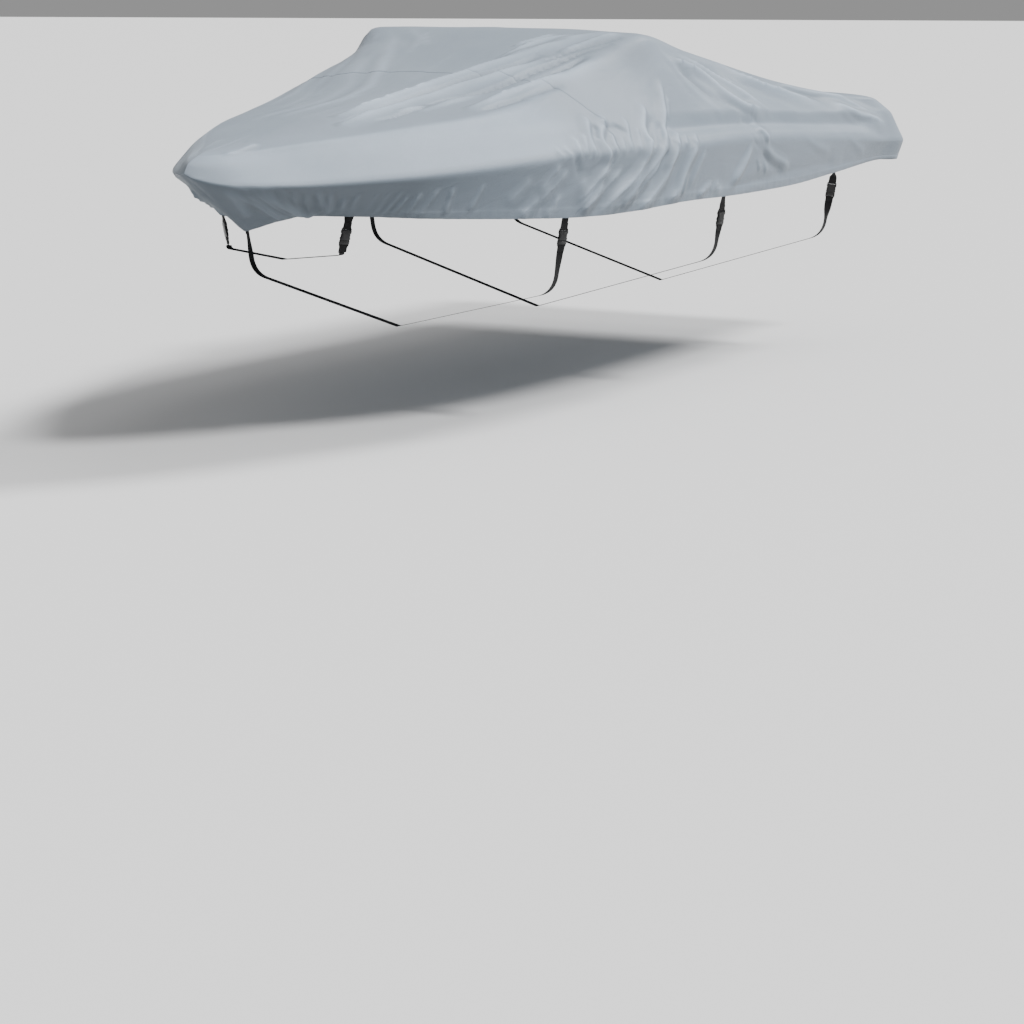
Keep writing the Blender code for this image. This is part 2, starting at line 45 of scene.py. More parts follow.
def addObject(name, data):
    thing = bpy.data.objects.new(name, data)
    bpy.context.scene.collection.objects.link(thing)
    return thing


cameraPlace = {"sensor": 36, "lens": 85.9, "at": (5.3964, -9.5818, 1.3808), "tilt": 78.189, "turn": 29.398}


def addCamera():
    data = bpy.data.cameras.new("camera")
    data.sensor_width = cameraPlace["sensor"]
    data.lens = cameraPlace["lens"]
    camera = addObject("camera", data)
    camera.location = cameraPlace["at"]
    camera.rotation_euler = (math.radians(cameraPlace["tilt"]), 0, math.radians(cameraPlace["turn"]))
    bpy.context.scene.camera = camera


def newMaterial(name, colour, roughness):
    mat = bpy.data.materials.new(name)
    mat.use_nodes = True
    shader = mat.node_tree.nodes["Principled BSDF"]
    shader.inputs["Base Color"].default_value = (*colour, 1)
    shader.inputs["Roughness"].default_value = roughness
    return mat, mat.node_tree, shader


studio = {
    "floorHeight": -0.311,     # the ground below the lowest strap
    "floorSize": 400.0,
    "floorColour": (0.88, 0.88, 0.88),
    "floorRoughness": 0.9,
    "surround": 0.31,          # even light from all round
    # soft lamps far off: degrees round from port towards the bow, degrees up, strength, and how wide each looks
    "lamps": {"high": (8, 51, 2.6, 12), "key": (-60, 45, 2.75, 14), "side": (-30, 45, 0.3, 24),
              "rim": (-72, 62, 0.35, 24)},
}


def addLamp(name, degreesRound, degreesUp, strength, width):
    data = bpy.data.lights.new(name + " lamp", "SUN")
    data.energy = strength
    data.angle = math.radians(width)
    around, up = math.radians(degreesRound), math.radians(degreesUp)
    towards = Vector((math.cos(up) * math.cos(around), -math.cos(up) * math.sin(around), math.sin(up)))
    addObject(name + " lamp", data).rotation_euler = towards.to_track_quat("Z", "Y").to_euler()


def addStudio():
    for name, values in studio["lamps"].items():
        addLamp(name, *values)
    world = bpy.data.worlds.new("surround")
    world.use_nodes = True
    background = world.node_tree.nodes["Background"]
    background.inputs["Color"].default_value = (1, 1, 1, 1)
    background.inputs["Strength"].default_value = studio["surround"]
    bpy.context.scene.world = world
    mesh = bpy.data.meshes.new("floor")
    half = studio["floorSize"] / 2
    mesh.from_pydata([(-half, -half, 0), (half, -half, 0), (half, half, 0), (-half, half, 0)], [], [(0, 1, 2, 3)])
    mesh.materials.append(newMaterial("pale floor", studio["floorColour"], studio["floorRoughness"])[0])
    floor = addObject("floor", mesh)
    floor.location.z = studio["floorHeight"]
    floor.visible_diffuse = False              # the floor throws no light back up under the cloth


addCamera()
addStudio()
print("camera, floor and light are set")


# a node with its settings; each input gets a value, or a link from what feeds it
def addNode(tree, kind, inputs=None, **settings):
    node = tree.nodes.new(kind)
    for name, value in settings.items():
        setattr(node, name, value)
    for name, value in (inputs or {}).items():
        if isinstance(value, bpy.types.NodeSocket):
            tree.links.new(value, node.inputs[name])
        else:
            node.inputs[name].default_value = value
    return node


def mathNode(tree, operation, first, second=0.5):
    return addNode(tree, "ShaderNodeMath", {0: first, 1: second}, operation=operation).outputs[0]


def addNoise(tree, place, scale, detail, roughness=0.5, distortion=0.0):
    return addNode(tree, "ShaderNodeTexNoise", {"Vector": place, "Scale": scale, "Detail": detail,
                                                "Roughness": roughness, "Distortion": distortion})


def addRange(tree, value, low, high, ends="To"):
    inputs = {"Value": value, ends + " Min": low, ends + " Max": high}
    return addNode(tree, "ShaderNodeMapRange", inputs).outputs["Result"]


# colours by value, each stop as (value, colour)
def addRamp(tree, value, first, last, between=()):
    node = addNode(tree, "ShaderNodeValToRGB", {"Fac": value})
    for element, (at, colour) in zip(node.color_ramp.elements, (first, last)):
        element.position = at
        element.color = (*colour, 1)
    for at, colour in between:
        node.color_ramp.elements.new(at).color = (*colour, 1)
    return node.outputs["Color"]


def addBump(tree, height, distance, strength, below=None):
    inputs = {"Height": height, "Distance": distance, "Strength": strength}
    if below is not None:
        inputs["Normal"] = below
    return addNode(tree, "ShaderNodeBump", inputs).outputs["Normal"]


# a piece's own lengths in metres, along and across it, together and apart
def addLengths(tree):
    uv = addNode(tree, "ShaderNodeUVMap", uv_map="lengths").outputs["UV"]
    return uv, addNode(tree, "ShaderNodeSeparateXYZ", {0: uv}).outputs[:2]


def addWave(tree, place, length):
    return mathNode(tree, "SINE", mathNode(tree, "MULTIPLY", place, 2 * math.pi / length))


clothLook = {
    "colour": (0.283, 0.341, 0.408),
    "pale": (0.313, 0.374, 0.441),     # where it is stretched and rubbed
    "dark": (0.253, 0.311, 0.378),
    "roughness": (0.46, 0.60),
    "sheen": 0.12,
    "sheenRoughness": 0.5,
    "specular": 0.42,
    "patches": 1.7,                    # uneven patches in a metre, and specks of the yarn
    "specks": 900,
    "speckShare": 0.12,
    "thread": 0.0011,                  # width of two threads of the weave
    "threadDepth": 0.00012,
    "wrinkles": (5.0, 16.0, 1.0),      # small soft wrinkles in a metre forward and up
    "wrinkleDepth": 0.004,
}


def clothMaterial():
    look = clothLook
    mat, tree, shader = newMaterial("coated grey cloth", look["colour"], 0.55)
    link = tree.links.new
    uv, ways = addLengths(tree)
    place = addNode(tree, "ShaderNodeTexCoord").outputs["Object"]
    # broad, uneven tone, with fine specks of the yarn over it
    broad = addNoise(tree, place, look["patches"], 5, 0.6).outputs["Fac"]
    tone = addRamp(tree, broad, (0.3, look["dark"]), (0.72, look["pale"]), [(0.5, look["colour"])])
    specks = addNoise(tree, uv, look["specks"], 2, 0.6).outputs["Color"]
    speckled = addNode(tree, "ShaderNodeMix", {"Factor": look["speckShare"], 6: tone, 7: specks},
                       data_type="RGBA", blend_type="OVERLAY").outputs[2]
    # painted highlight along the crests of the folds, painted shade in the hollows beside them
    paintedFoldShading = addNode(tree, "ShaderNodeAttribute", attribute_name="paintedFoldShading").outputs["Fac"]
    rubbedAndPaintedShade = {0: speckled, "Scale": mathNode(tree, "ADD", paintedFoldShading, 1.0)}
    link(addNode(tree, "ShaderNodeVectorMath", rubbedAndPaintedShade, operation="SCALE").outputs[0], shader.inputs["Base Color"])
    link(addRange(tree, broad, *look["roughness"]), shader.inputs["Roughness"])
    # plain weave, over and under in both directions, with the wrinkles over it
    weave = mathNode(tree, "MULTIPLY", *(addWave(tree, way, look["thread"]) for way in ways))
    normal = addBump(tree, weave, look["threadDepth"], 0.5)
    stretched = addNode(tree, "ShaderNodeMapping", {"Vector": uv, "Scale": look["wrinkles"]}).outputs["Vector"]
    wrinkles = addNoise(tree, stretched, 1.0, 4, 0.5, 0.6).outputs["Fac"]
    link(addBump(tree, wrinkles, look["wrinkleDepth"], 0.6, normal), shader.inputs["Normal"])
    shader.inputs["Sheen Weight"].default_value = look["sheen"]
    shader.inputs["Sheen Roughness"].default_value = look["sheenRoughness"]
    shader.inputs["Specular IOR Level"].default_value = look["specular"]
    return mat


webbingLook = {
    "colour": (0.016, 0.016, 0.018),
    "dark": (0.0025, 0.0025, 0.003),
    "pale": (0.012, 0.012, 0.013),
    "roughness": 0.72,
    "sheen": 0.02,
    "specular": 0.2,
    "rib": 0.0024,                     # width of a rib across the band, of a cord along it, and of the zigzag
    "cord": 0.0019,
    "zigzag": 0.0048,
    "lean": 900.0,                     # how much the ribs lean in the zigzag
    "depth": 0.00022,
}


def webbingMaterial():
    look = webbingLook
    mat, tree, shader = newMaterial("black woven webbing", look["colour"], look["roughness"])
    link = tree.links.new
    uv, (along, across) = addLengths(tree)
    # ribs across the band, each leaning like a twill
    leaning = mathNode(tree, "MULTIPLY", mathNode(tree, "PINGPONG", across, look["zigzag"]), look["lean"])
    ribs = mathNode(tree, "ADD", mathNode(tree, "MULTIPLY", along, 2 * math.pi / look["rib"]), leaning)
    cords = mathNode(tree, "MULTIPLY", addWave(tree, across, look["cord"]), 0.5)
    height = mathNode(tree, "ADD", mathNode(tree, "SINE", ribs), cords)
    # painted shade: the grooves between ribs and cords are coloured darker and their tops paler, by the height that
    # bumps them
    tint = addRamp(tree, addRange(tree, height, -1.5, 1.5, "From"), (0, look["dark"]), (1, look["pale"]))
    link(tint, shader.inputs["Base Color"])
    link(addBump(tree, height, look["depth"], 0.7), shader.inputs["Normal"])
    shader.inputs["Sheen Weight"].default_value = look["sheen"]
    shader.inputs["Specular IOR Level"].default_value = look["specular"]
    return mat


plasticLook = {
    "colour": (0.018, 0.018, 0.020),
    "dark": (0.005, 0.005, 0.0055),
    "pale": (0.014, 0.014, 0.015),     # where it is rubbed
    "roughness": (0.26, 0.48),
    "specular": 0.32,
    "grain": 1400,                     # grains in a metre, and rubbed patches
    "grainDepth": 0.00008,
    "rubbedAndPaintedShade": 60,
}


def plasticMaterial():
    look = plasticLook
    mat, tree, shader = newMaterial("black moulded plastic", look["colour"], 0.36)
    link = tree.links.new
    place = addNode(tree, "ShaderNodeTexCoord").outputs["Object"]
    grain = addNoise(tree, place, look["grain"], 2).outputs["Fac"]
    rubbedAndPaintedShade = addNoise(tree, place, look["rubbedAndPaintedShade"], 4, 0.7).outputs["Fac"]
    link(addRange(tree, rubbedAndPaintedShade, *look["roughness"]), shader.inputs["Roughness"])
    link(addRamp(tree, rubbedAndPaintedShade, (0, look["dark"]), (1, look["pale"])), shader.inputs["Base Color"])
    link(addBump(tree, grain, look["grainDepth"], 0.4), shader.inputs["Normal"])
    shader.inputs["Specular IOR Level"].default_value = look["specular"]
    return mat


threadLook = {"roughness": 0.6, "twists": 500, "shares": (0.7, 1.35)}     # twists in a metre, dark and pale shares


def threadMaterial(name, colour):
    mat, tree, shader = newMaterial(name, colour, threadLook["roughness"])
    place = addNode(tree, "ShaderNodeTexCoord").outputs["Object"]
    twist = addNoise(tree, place, threadLook["twists"], 2).outputs["Fac"]
    dark, pale = (tuple(value * share for value in colour) for share in threadLook["shares"])
    tree.links.new(addRamp(tree, twist, (0, dark), (1, pale)), shader.inputs["Base Color"])
    return mat


materials = {"cloth": clothMaterial(), "webbing": webbingMaterial(), "plastic": plasticMaterial(),
             "thread": threadMaterial("grey thread", (0.275, 0.325, 0.375)),
             "blackThread": threadMaterial("black thread", (0.022, 0.022, 0.024))}
print("materials are made")


# The ribs run from the middle of the stern round the port quarter to the bow. Each names where it crosses the hem,
# the lip, the edge, the shoulder and the crown, in millimetres: (station, half width, height above the ground).
# Stations count forward from near the stern. "soft" is how far the bend at the shoulder reaches, in percent. A place
# along a rib is 0 at the hem, 1 at the lip, 2 at the edge, 3 at the shoulder and 4 at the crown.
cover = {
    "middle": 2.3187,          # the station at y = 0
    "foot": 0.311,             # height above the ground at z = 0
    "cloth": 0.002,
    "hem": 0.0035,
    "hemShare": 0.16,          # share of the skirt's height that is hem
    "hemStep": (0.150, 0.168, 0.0009),               # where the hem's two layers step out, and by how much
    "hemRound": 0.0009,        # how far its lower edge is rounded
    "pucker": (0.22, 0.0009),  # how far up the hem puckers, and how deep
    "swell": {"side": 0.0022, "top": 0.0018},
    "seamRib": 12,             # the cross seam follows this rib
    "tuckRows": 2,             # rows of the front panel that lie under the rear panel's edge
    "seamSink": (0.0026, 0.0026, 0.0011, 0.0002),    # and how deep they and the next rows lie
    "seamThin": (0.0012, 0.0002),                    # how much the seam's edge is pressed thin, inside and outside
    # drawn in below the edge: depth, places where it begins, is deepest and ends, and (station) that it has
    "tuck": {"depth": 0.021, "from": (2.0, 1.64, 1.22), "stations": (0.15, 0.5, 2.45, 2.8)},
    "lipRounding": 0.10,
    "edgeRounding": ((-1.0, 0.10), (2.5, 0.10), (2.9, 0.30), (5.0, 0.30)),     # (station, share)
    "rowStep": ((-1.0, 0.026), (0.9, 0.023), (1.3, 0.0125), (2.1, 0.0110), (2.35, 0.0066), (3.4, 0.0066),
                (3.6, 0.0078), (5.0, 0.0070)),
    # painted light: paler where the front panel lies between lip and shoulder, over these stations and places
    "tight": {"pale": 0.30, "stations": (3.05, 3.35, 4.55, 4.70), "places": (1.10, 1.30, 2.90, 3.04)},
    "columns": ((0.0, 0.15, 4), (0.15, 0.17, 2), (0.17, 1.0, 17), (1.0, 2.0, 15), (2.0, 3.0, 22), (3.0, 4.0, 58)),
}
ribNames = ("soft", "hem", "lip", "edge", "shoulder", "crown")
ribs = (
    (34, (-70, 0, 895), (-95, 0, 1000), (-65, 0, 1130), (60, 0, 1222), (280, 0, 1236)),
    (34, (-70, 440, 895), (-95, 450, 1000), (-65, 440, 1130), (60, 420, 1222), (310, 0, 1240)),
    (34, (-68, 870, 897), (-93, 888, 998), (-62, 850, 1130), (65, 775, 1228), (360, 0, 1246)),
    (32, (-40, 925, 903), (-68, 950, 1000), (-8, 900, 1138), (130, 835, 1234), (430, 0, 1254)),
    (30, (200, 915, 911), (180, 944, 1010), (230, 890, 1150), (350, 815, 1246), (580, 0, 1268)),
    (28, (780, 923, 882), (780, 946, 1045), (780, 885, 1170), (860, 740, 1306), (950, 0, 1330)),
    (26, (1350, 930, 857), (1350, 954, 1075), (1350, 885, 1195), (1380, 680, 1400), (1400, 0, 1410)),
    (22, (1930, 934, 854), (1900, 958, 1095), (1900, 885, 1218), (1900, 660, 1492), (1900, 0, 1498)),
    (9, (2450, 923, 860), (2330, 953, 1096), (2320, 866, 1224), (2340, 692, 1550), (2340, 0, 1572)),
    (9, (2600, 911, 856), (2450, 945, 1094), (2440, 854, 1225), (2445, 697, 1552), (2450, 0, 1578)),
    (16, (2790, 891, 848), (2600, 934, 1094), (2610, 843, 1225), (2640, 638, 1500), (2660, 0, 1520)),
    (24, (3020, 858, 843), (2790, 916, 1095), (2800, 823, 1224), (2860, 612, 1428), (2880, 0, 1456)),
    (25, (3250, 802, 845), (2990, 888, 1095), (2990, 800, 1219), (3070, 604, 1366), (3070, 0, 1403)),
    (20, (3450, 736, 853), (3230, 838, 1089), (3240, 745, 1209), (3300, 586, 1302), (3300, 0, 1342)),
    (16, (3640, 652, 862), (3480, 768, 1075), (3490, 668, 1193), (3540, 555, 1258), (3560, 0, 1296)),
    (14, (3910, 497, 878), (3880, 617, 1048), (3890, 510, 1160), (3920, 420, 1220), (3940, 0, 1254)),
    (14, (4110, 300, 892), (4190, 455, 1030), (4190, 362, 1135), (4200, 290, 1188), (4200, 0, 1218)),
    (16, (4240, 150, 891), (4450, 275, 1022), (4430, 198, 1115), (4410, 150, 1160), (4380, 0, 1188)),
    (20, (4320, 55, 862), (4635, 118, 1030), (4608, 84, 1112), (4560, 65, 1145), (4500, 0, 1167)),
    (30, (4362, 15, 845), (4720, 35, 1058), (4688, 25, 1115), (4630, 20, 1142), (4560, 0, 1158)),
    (30, (4368, 0, 842), (4740, 0, 1078), (4710, 0, 1120), (4650, 0, 1143), (4580, 0, 1156)),
)
# The starboard side stands a little prouder than the port one at the bow and at the peak, where its shoulder is also
# drawn in: metres, and the stations over which each comes and goes.
starboardLift = {
    "bow": {"hem": 0.006, "lip": 0.035, "edge": 0.018, "shoulder": 0.004},
    "peak": {"shoulder": 0.024},
    "drawnIn": {"shoulder": 0.036},
    "stations": {"bow": (3.5, 4.2, 8, 9), "peak": (1.9, 2.35, 2.44, 2.64), "drawnIn": (2.30, 2.50, 2.65, 2.95)},
}


# Folds on top, as seen from above: points (station, half width), width, height, all in millimetres. A height below
# nought is a trough. One flank of each is steeper than the other, as the fourth value says: 1 for the side that lies
# to the right as the points go, -1 for the left.
topFolds = (
    (((3900, 118), (3310, 128), (3060, 212), (2910, 275), (2700, 365), (2480, 515)), 78, 26, 1),
    (((3990, 190), (3385, 178), (3120, 255), (2990, 330), (2800, 400)), 30, -16, 1),
    (((4035, 222), (3590, 210), (3280, 262), (3060, 368), (2830, 440)), 70, 22, 1),
    (((3875, 290), (3460, 312), (3160, 420), (2895, 485), (2735, 535), (2585, 620)), 28, -19, 1),
    (((3700, 262), (3495, 318), (3300, 372)), 34, 12, 1),
    (((3660, 325), (3455, 356), (3300, 400)), 26, 7, 1),
    (((3495, 468), (3285, 496), (3120, 535), (2960, 585), (2705, 636)), 64, 21, 1),
    (((3490, 515), (3260, 566), (3020, 622)), 28, -11, 1),
    (((3120, 505), (2960, 540), (2740, 590)), 26, -11, 1),
    (((3250, 585), (3050, 640)), 26, 6, 1),
    (((2850, 240), (2655, 300), (2525, 420)), 44, 16, 1),
    (((2870, 280), (2700, 350), (2600, 425)), 26, -11, 1),
    (((2705, 225), (2540, 315)), 34, 12, 1),
    (((2860, 435), (2665, 522), (2515, 632)), 26, -11, 1),
    (((2730, 460), (2540, 552), (2465, 597)), 34, 12, 1),
    (((4575, 66), (4510, 85), (4415, 98)), 34, 8, -1),
    (((4320, 262), (4235, 308)), 26, 6, -1),
    (((4240, 298), (4180, 340)), 24, 5, -1),
    (((2250, 120), (1500, 260)), 90, 8, 1),
    (((2240, 420), (1300, 520)), 80, 12, 1),
    (((900, 200), (300, 560)), 90, 8, 1),
    (((1500, 420), (700, 640)), 60, 7, -1),
)
# Folds on the sides, as seen square to the length: points (station, height above the ground), width, height, flank.
sideFolds = (
    # from the peak aft and down to the edge
    (((2230, 1395), (2130, 1350), (2030, 1290), (1900, 1250), (1730, 1195)), 30, -10, 1),
    (((2250, 1450), (2060, 1410), (1940, 1360), (1870, 1295), (1775, 1240), (1590, 1212)), 40, 23, -1),
    (((2100, 1460), (1925, 1410), (1780, 1345), (1640, 1275), (1510, 1215)), 34, 15, -1),
    (((2000, 1455), (1860, 1400), (1700, 1330)), 34, -9, 1),
    (((1950, 1470), (1675, 1420), (1545, 1365), (1360, 1310), (1090, 1255), (800, 1222)), 44, 26, -1),
    (((1705, 1352), (1650, 1292)), 24, 7, -1),
    (((1680, 1340), (1625, 1285)), 22, 6, -1),
    (((1640, 1390), (1455, 1380), (1220, 1340), (915, 1265), (615, 1230)), 46, -14, -1),
    (((1100, 1310), (815, 1280), (580, 1240), (400, 1222)), 36, 14, -1),
    (((640, 1205), (515, 1170), (330, 1130), (145, 1095)), 50, 20, -1),
    (((600, 1175), (480, 1138), (330, 1105)), 34, -4, 1),
    (((465, 1212), (360, 1180), (275, 1150)), 34, 9, -1),
    (((495, 1236), (295, 1206), (130, 1156)), 44, -6, 1),
    (((2330, 1500), (2150, 1300), (2020, 1215)), 60, 5, 1),
    # short gathers over the lip
    (((3350, 1120), (3330, 1082)), 30, 5, -1),
    (((3300, 1125), (3285, 1085)), 32, 6, -1),
    (((3215, 1155), (3248, 1086)), 36, 10, -1),
    (((3165, 1165), (3212, 1090)), 36, 10, -1),
    (((3070, 1232), (3128, 1170), (3156, 1086)), 40, 13, -1),
    (((3058, 1200), (3095, 1150)), 28, -8, -1),
    (((2965, 1232), (3068, 1150), (3066, 1095), (3085, 1050)), 42, 14, -1),
    (((3030, 1205), (2970, 1193), (2925, 1192), (2895, 1172)), 26, -8, -1),
    (((2985, 1165), (3032, 1086)), 34, 10, -1),
    (((2940, 1150), (2975, 1092)), 28, 7, -1),
    (((2840, 1222), (2890, 1155), (2918, 1100)), 36, 11, -1),
    (((2800, 1180), (2862, 1090)), 32, 8, -1),
    (((2650, 1262), (2762, 1170), (2782, 1122), (2830, 1080)), 44, 16, -1),
    (((2730, 1165), (2788, 1100)), 34, 11, -1),
    (((2640, 1215), (2715, 1150), (2750, 1105)), 26, -8, -1),
    (((2450, 1345), (2545, 1212), (2662, 1104)), 40, 17, -1),
    (((2600, 1190), (2690, 1100)), 24, -8, -1),
    (((2440, 1290), (2500, 1210)), 26, 6, -1),
    (((2500, 1158), (2562, 1096)), 36, 12, -1),
    (((2440, 1150), (2490, 1096)), 26, 6, -1),
    (((2368, 1148), (2408, 1096)), 34, 9, -1),
    # slanting folds down the skirt
    (((2780, 1118), (2830, 1060), (2905, 985), (3010, 920), (3090, 868)), 62, 22, 1),
    (((2660, 1106), (2725, 1060), (2800, 1003), (2900, 935), (2995, 868)), 44, 16, 1),
    (((2720, 1040), (2810, 955), (2912, 868)), 34, 11, 1),
    (((2560, 1100), (2615, 1045), (2660, 980), (2745, 905), (2830, 856)), 48, 18, 1),
    (((2640, 1085), (2700, 1030), (2760, 960)), 28, -9, 1),
    (((2405, 1102), (2460, 1048), (2505, 985), (2552, 915), (2618, 878)), 50, 17, 1),
    (((2475, 970), (2508, 888)), 32, 8, 1),
    (((2330, 1060), (2400, 985), (2440, 930)), 36, 6, 1),
    (((2865, 942), (2958, 876)), 36, 11, 1),
    (((2990, 1022), (3100, 940), (3180, 900)), 40, 10, 1),
    (((3070, 1040), (3155, 970), (3250, 908)), 64, 17, 1),
    (((3100, 968), (3165, 906), (3215, 866)), 44, 13, 1),
    (((3275, 1082), (3235, 1012)), 26, -6, 1),
    (((3195, 992), (3290, 950), (3362, 920)), 56, 13, 1),
    (((3330, 938), (3405, 862)), 44, 9, 1),
    (((3312, 1032), (3395, 956), (3430, 920)), 52, 12, 1),
    (((3355, 1056), (3438, 962)), 46, 8, 1),
    (((3440, 928), (3525, 866)), 44, 8, 1),
    (((3500, 1010), (3590, 920)), 50, 6, 1),
    (((2240, 926), (2310, 900), (2356, 872)), 30, 11, 1),
    (((2165, 924), (2232, 893)), 26, 6, 1),
    # the lump abaft the middle, and the folds down from it
    (((1742, 1160), (1712, 1120), (1690, 1076)), 84, 9, 1),
    (((1835, 1178), (1712, 1150)), 24, -4, 1),
    (((1745, 1205), (1676, 1178)), 26, -4, 1),
    (((1740, 1142), (1680, 1092), (1668, 1066)), 24, 9, -1),
    (((1832, 1116), (1822, 1080), (1762, 1056)), 24, -4, 1),
    (((1732, 1126), (1704, 1066)), 20, -3, 1),
    (((1850, 1058), (1930, 990), (1990, 940), (2050, 908), (2180, 896)), 48, 17, 1),
    (((1728, 1030), (1640, 985), (1560, 960), (1475, 936)), 34, -6, -1),
    (((1705, 1058), (1560, 1000), (1400, 955)), 44, 8, -1),
    (((1770, 1000), (1735, 950)), 26, 6, 1),
    (((1690, 985), (1660, 935)), 24, 5, 1),
    (((1200, 1060), (900, 985)), 60, 4, 1),
    (((620, 1030), (430, 960)), 60, 3, 1),
    (((2120, 884), (1450, 920), (1040, 936), (600, 930)), 44, -4, 1),
    # pleats at the bow
    (((4620, 1015), (4540, 975), (4425, 905)), 22, 11, 1),
    (((4590, 1012), (4425, 940), (4275, 885)), 20, 12, 1),
    (((4570, 1012), (4430, 955), (4280, 898)), 19, 12, 1),
    (((4550, 1012), (4400, 955), (4255, 898)), 19, 12, 1),
    (((4530, 1012), (4390, 960), (4248, 906)), 19, 12, 1),
    (((4500, 1008), (4370, 955), (4238, 904)), 18, 12, 1),
    (((4475, 1008), (4350, 955), (4222, 902)), 18, 11, 1),
    (((4420, 998), (4218, 902)), 18, 11, 1),
    (((4365, 990), (4212, 902)), 18, 11, 1),
    (((4340, 1002), (4202, 912)), 18, 9, 1),
    (((4290, 990), (4178, 906)), 19, 11, 1),
    (((4215, 970), (4140, 902)), 19, 9, 1),
    (((4185, 984), (4120, 902)), 20, 12, 1),
    (((4120, 984), (4085, 905)), 19, 8, 1),
    (((4080, 984), (4058, 905)), 19, 12, 1),
    (((4040, 988), (4038, 900)), 19, 11, 1),
    (((4005, 970), (4012, 900)), 18, 8, 1),
    (((3965, 978), (3966, 900)), 19, 8, 1),
    (((3905, 990), (3925, 892)), 20, 7, 1),
    (((3845, 990), (3840, 895)), 20, 8, 1),
    (((3720, 1000), (3745, 900)), 23, 7, 1),
)


def mm(values):
    return np.array(values, float) * 0.001


def unit(vector):
    return vector / np.maximum(np.linalg.norm(vector, axis=-1, keepdims=True), 1e-9)


def smooth(low, high, value):
    f = np.clip((value - low) / (high - low), 0, 1)
    return f * f * (3 - 2 * f)


# 1 from full to end, and falling away to nothing at low and at last
def within(value, low, full, end, last):
    return smooth(low, full, value) * (1 - smooth(end, last, value))


# how far along a line each of its points lies
def distances(points):
    return np.concatenate([[0.0], np.cumsum(np.linalg.norm(np.diff(points, axis=0), axis=-1))])


# an even curve through points, with a number of steps in each span
def smoothLine(points, steps):
    points = np.array(points, float)
    chord = np.maximum(np.linalg.norm(np.diff(points, axis=0), axis=1), 1e-4) ** 0.5
    knots = np.concatenate([[0.0], np.cumsum(chord)])
    slope = np.gradient(points, knots, axis=0)
    out = []
    for i, count in enumerate(steps):
        f = (np.arange(count) / count)[:, None]
        span = knots[i + 1] - knots[i]
        out.append((2 * f ** 3 - 3 * f ** 2 + 1) * points[i] + (f ** 3 - 2 * f ** 2 + f) * span * slope[i]
                   + (3 * f ** 2 - 2 * f ** 3) * points[i + 1] + (f ** 3 - f ** 2) * span * slope[i + 1])
    return np.concatenate(out + [points[-1:]])


# an even number of rows between each two ribs
def rowSteps():
    steps = []
    for first, second in zip(ribs, ribs[1:]):
        length = max(np.linalg.norm(mm(second[i]) - mm(first[i])) for i in (2, 4))
        station = (first[2][0] + second[2][0]) / 2000
        wanted = np.interp(station, *zip(*cover["rowStep"]))
        steps.append(2 * max(1, round(length / wanted / 2)))
    return steps


def columnPlaces():
    places = [np.linspace(low, high, count, endpoint=False) for low, high, count in cover["columns"]]
    return np.concatenate(places + [[4.0]])


# points at places along the ribs, with sharp bends; the top levels out towards the middle
def straightPoint(bends, places):
    span = np.minimum(places.astype(int), 3)
    f = (places - span)[..., None]
    rows = np.arange(len(bends))[:, None]
    start, end = bends[rows, span], bends[rows, span + 1]
    point = start + (end - start) * f
    eased = start[..., 2] + (end[..., 2] - start[..., 2]) * (1 - (1 - f[..., 0]) ** 2)
    point[..., 2] = np.where(span == 3, eased, point[..., 2])
    return point


# the same with the bends at the lip, the edge and the shoulder rounded
def ribPoints(bends, soft, places):
    point = straightPoint(bends, places)
    edgeReach = np.interp(bends[:, 2, 0], *zip(*cover["edgeRounding"]))
    for i, reach in ((1, np.full_like(soft, cover["lipRounding"])), (2, edgeReach), (3, soft)):
        reach = reach[:, None]
        bend = bends[:, i][:, None]
        before = bend + (bends[:, i - 1][:, None] - bend) * reach[..., None]
        after = straightPoint(bends, i + reach)
        f = ((places - i + reach) / (2 * reach))[..., None]
        curve = (1 - f) ** 2 * before + 2 * f * (1 - f) * bend + f ** 2 * after
        point = np.where((np.abs(places - i) < reach)[..., None], curve, point)
    return point


# one half of the cover, port (1) or starboard (-1), as (ribs, across, xyz)
def coverHalf(side, steps, places):
    lines = [smoothLine(mm([rib[1 + i] for rib in ribs]), steps) for i in range(5)]
    if side < 0:
        for line, name in zip(lines, ribNames[1:]):
            share = np.clip(line[:, 1] / 0.1, 0, 1)
            bow, peak, drawnIn = (starboardLift[part].get(name, 0) * within(line[:, 0], *stations)
                                  for part, stations in starboardLift["stations"].items())
            line[:, 2] += (bow + peak) * share
            line[:, 1] -= drawnIn
    soft = smoothLine([[rib[0]] for rib in ribs], steps)[:, 0] * 0.01
    grid = ribPoints(np.stack(lines, axis=1), soft, np.repeat(places[None], len(soft), axis=0))
    station, half, height = np.moveaxis(grid, -1, 0)
    return np.stack([side * half, cover["middle"] - station, height - cover["foot"]], axis=-1)


foldShape = {
    "crest": 1.08,             # below 2, a crest is sharper than a bell curve
    "steep": 0.35,             # how much narrower its steep flank is, as a share
    "hollow": (0.20, 0.16),    # depth of the hollow beside the steep flank and beside the other, as shares
    "hollowPlace": (2.1, 0.8), # where that hollow lies and how wide it is, in widths of the flank
    "ends": (-0.10, 0.18, 0.80, 1.10),               # where along its line a fold comes up and dies away
    "wander": 0.05,            # how far a fold's line wanders, as a share of its width
    "starboardShift": 0.045,
    "starboardShare": {"top": 0.25, "side": 0.8},
    # how much painted highlight pales a crest and painted shade darkens the hollow beside it, the height of fold
    # that has them in full, how narrow the highlight is, and where the shade lies and how wide it is
    "tone": {"pale": 0.50, "dark": 0.26, "full": 0.016, "least": 0.28, "narrow": {"top": 1.0, "side": 1.5},
             "darkPlace": (1.35, 0.5), "darkShare": 0.8},
}


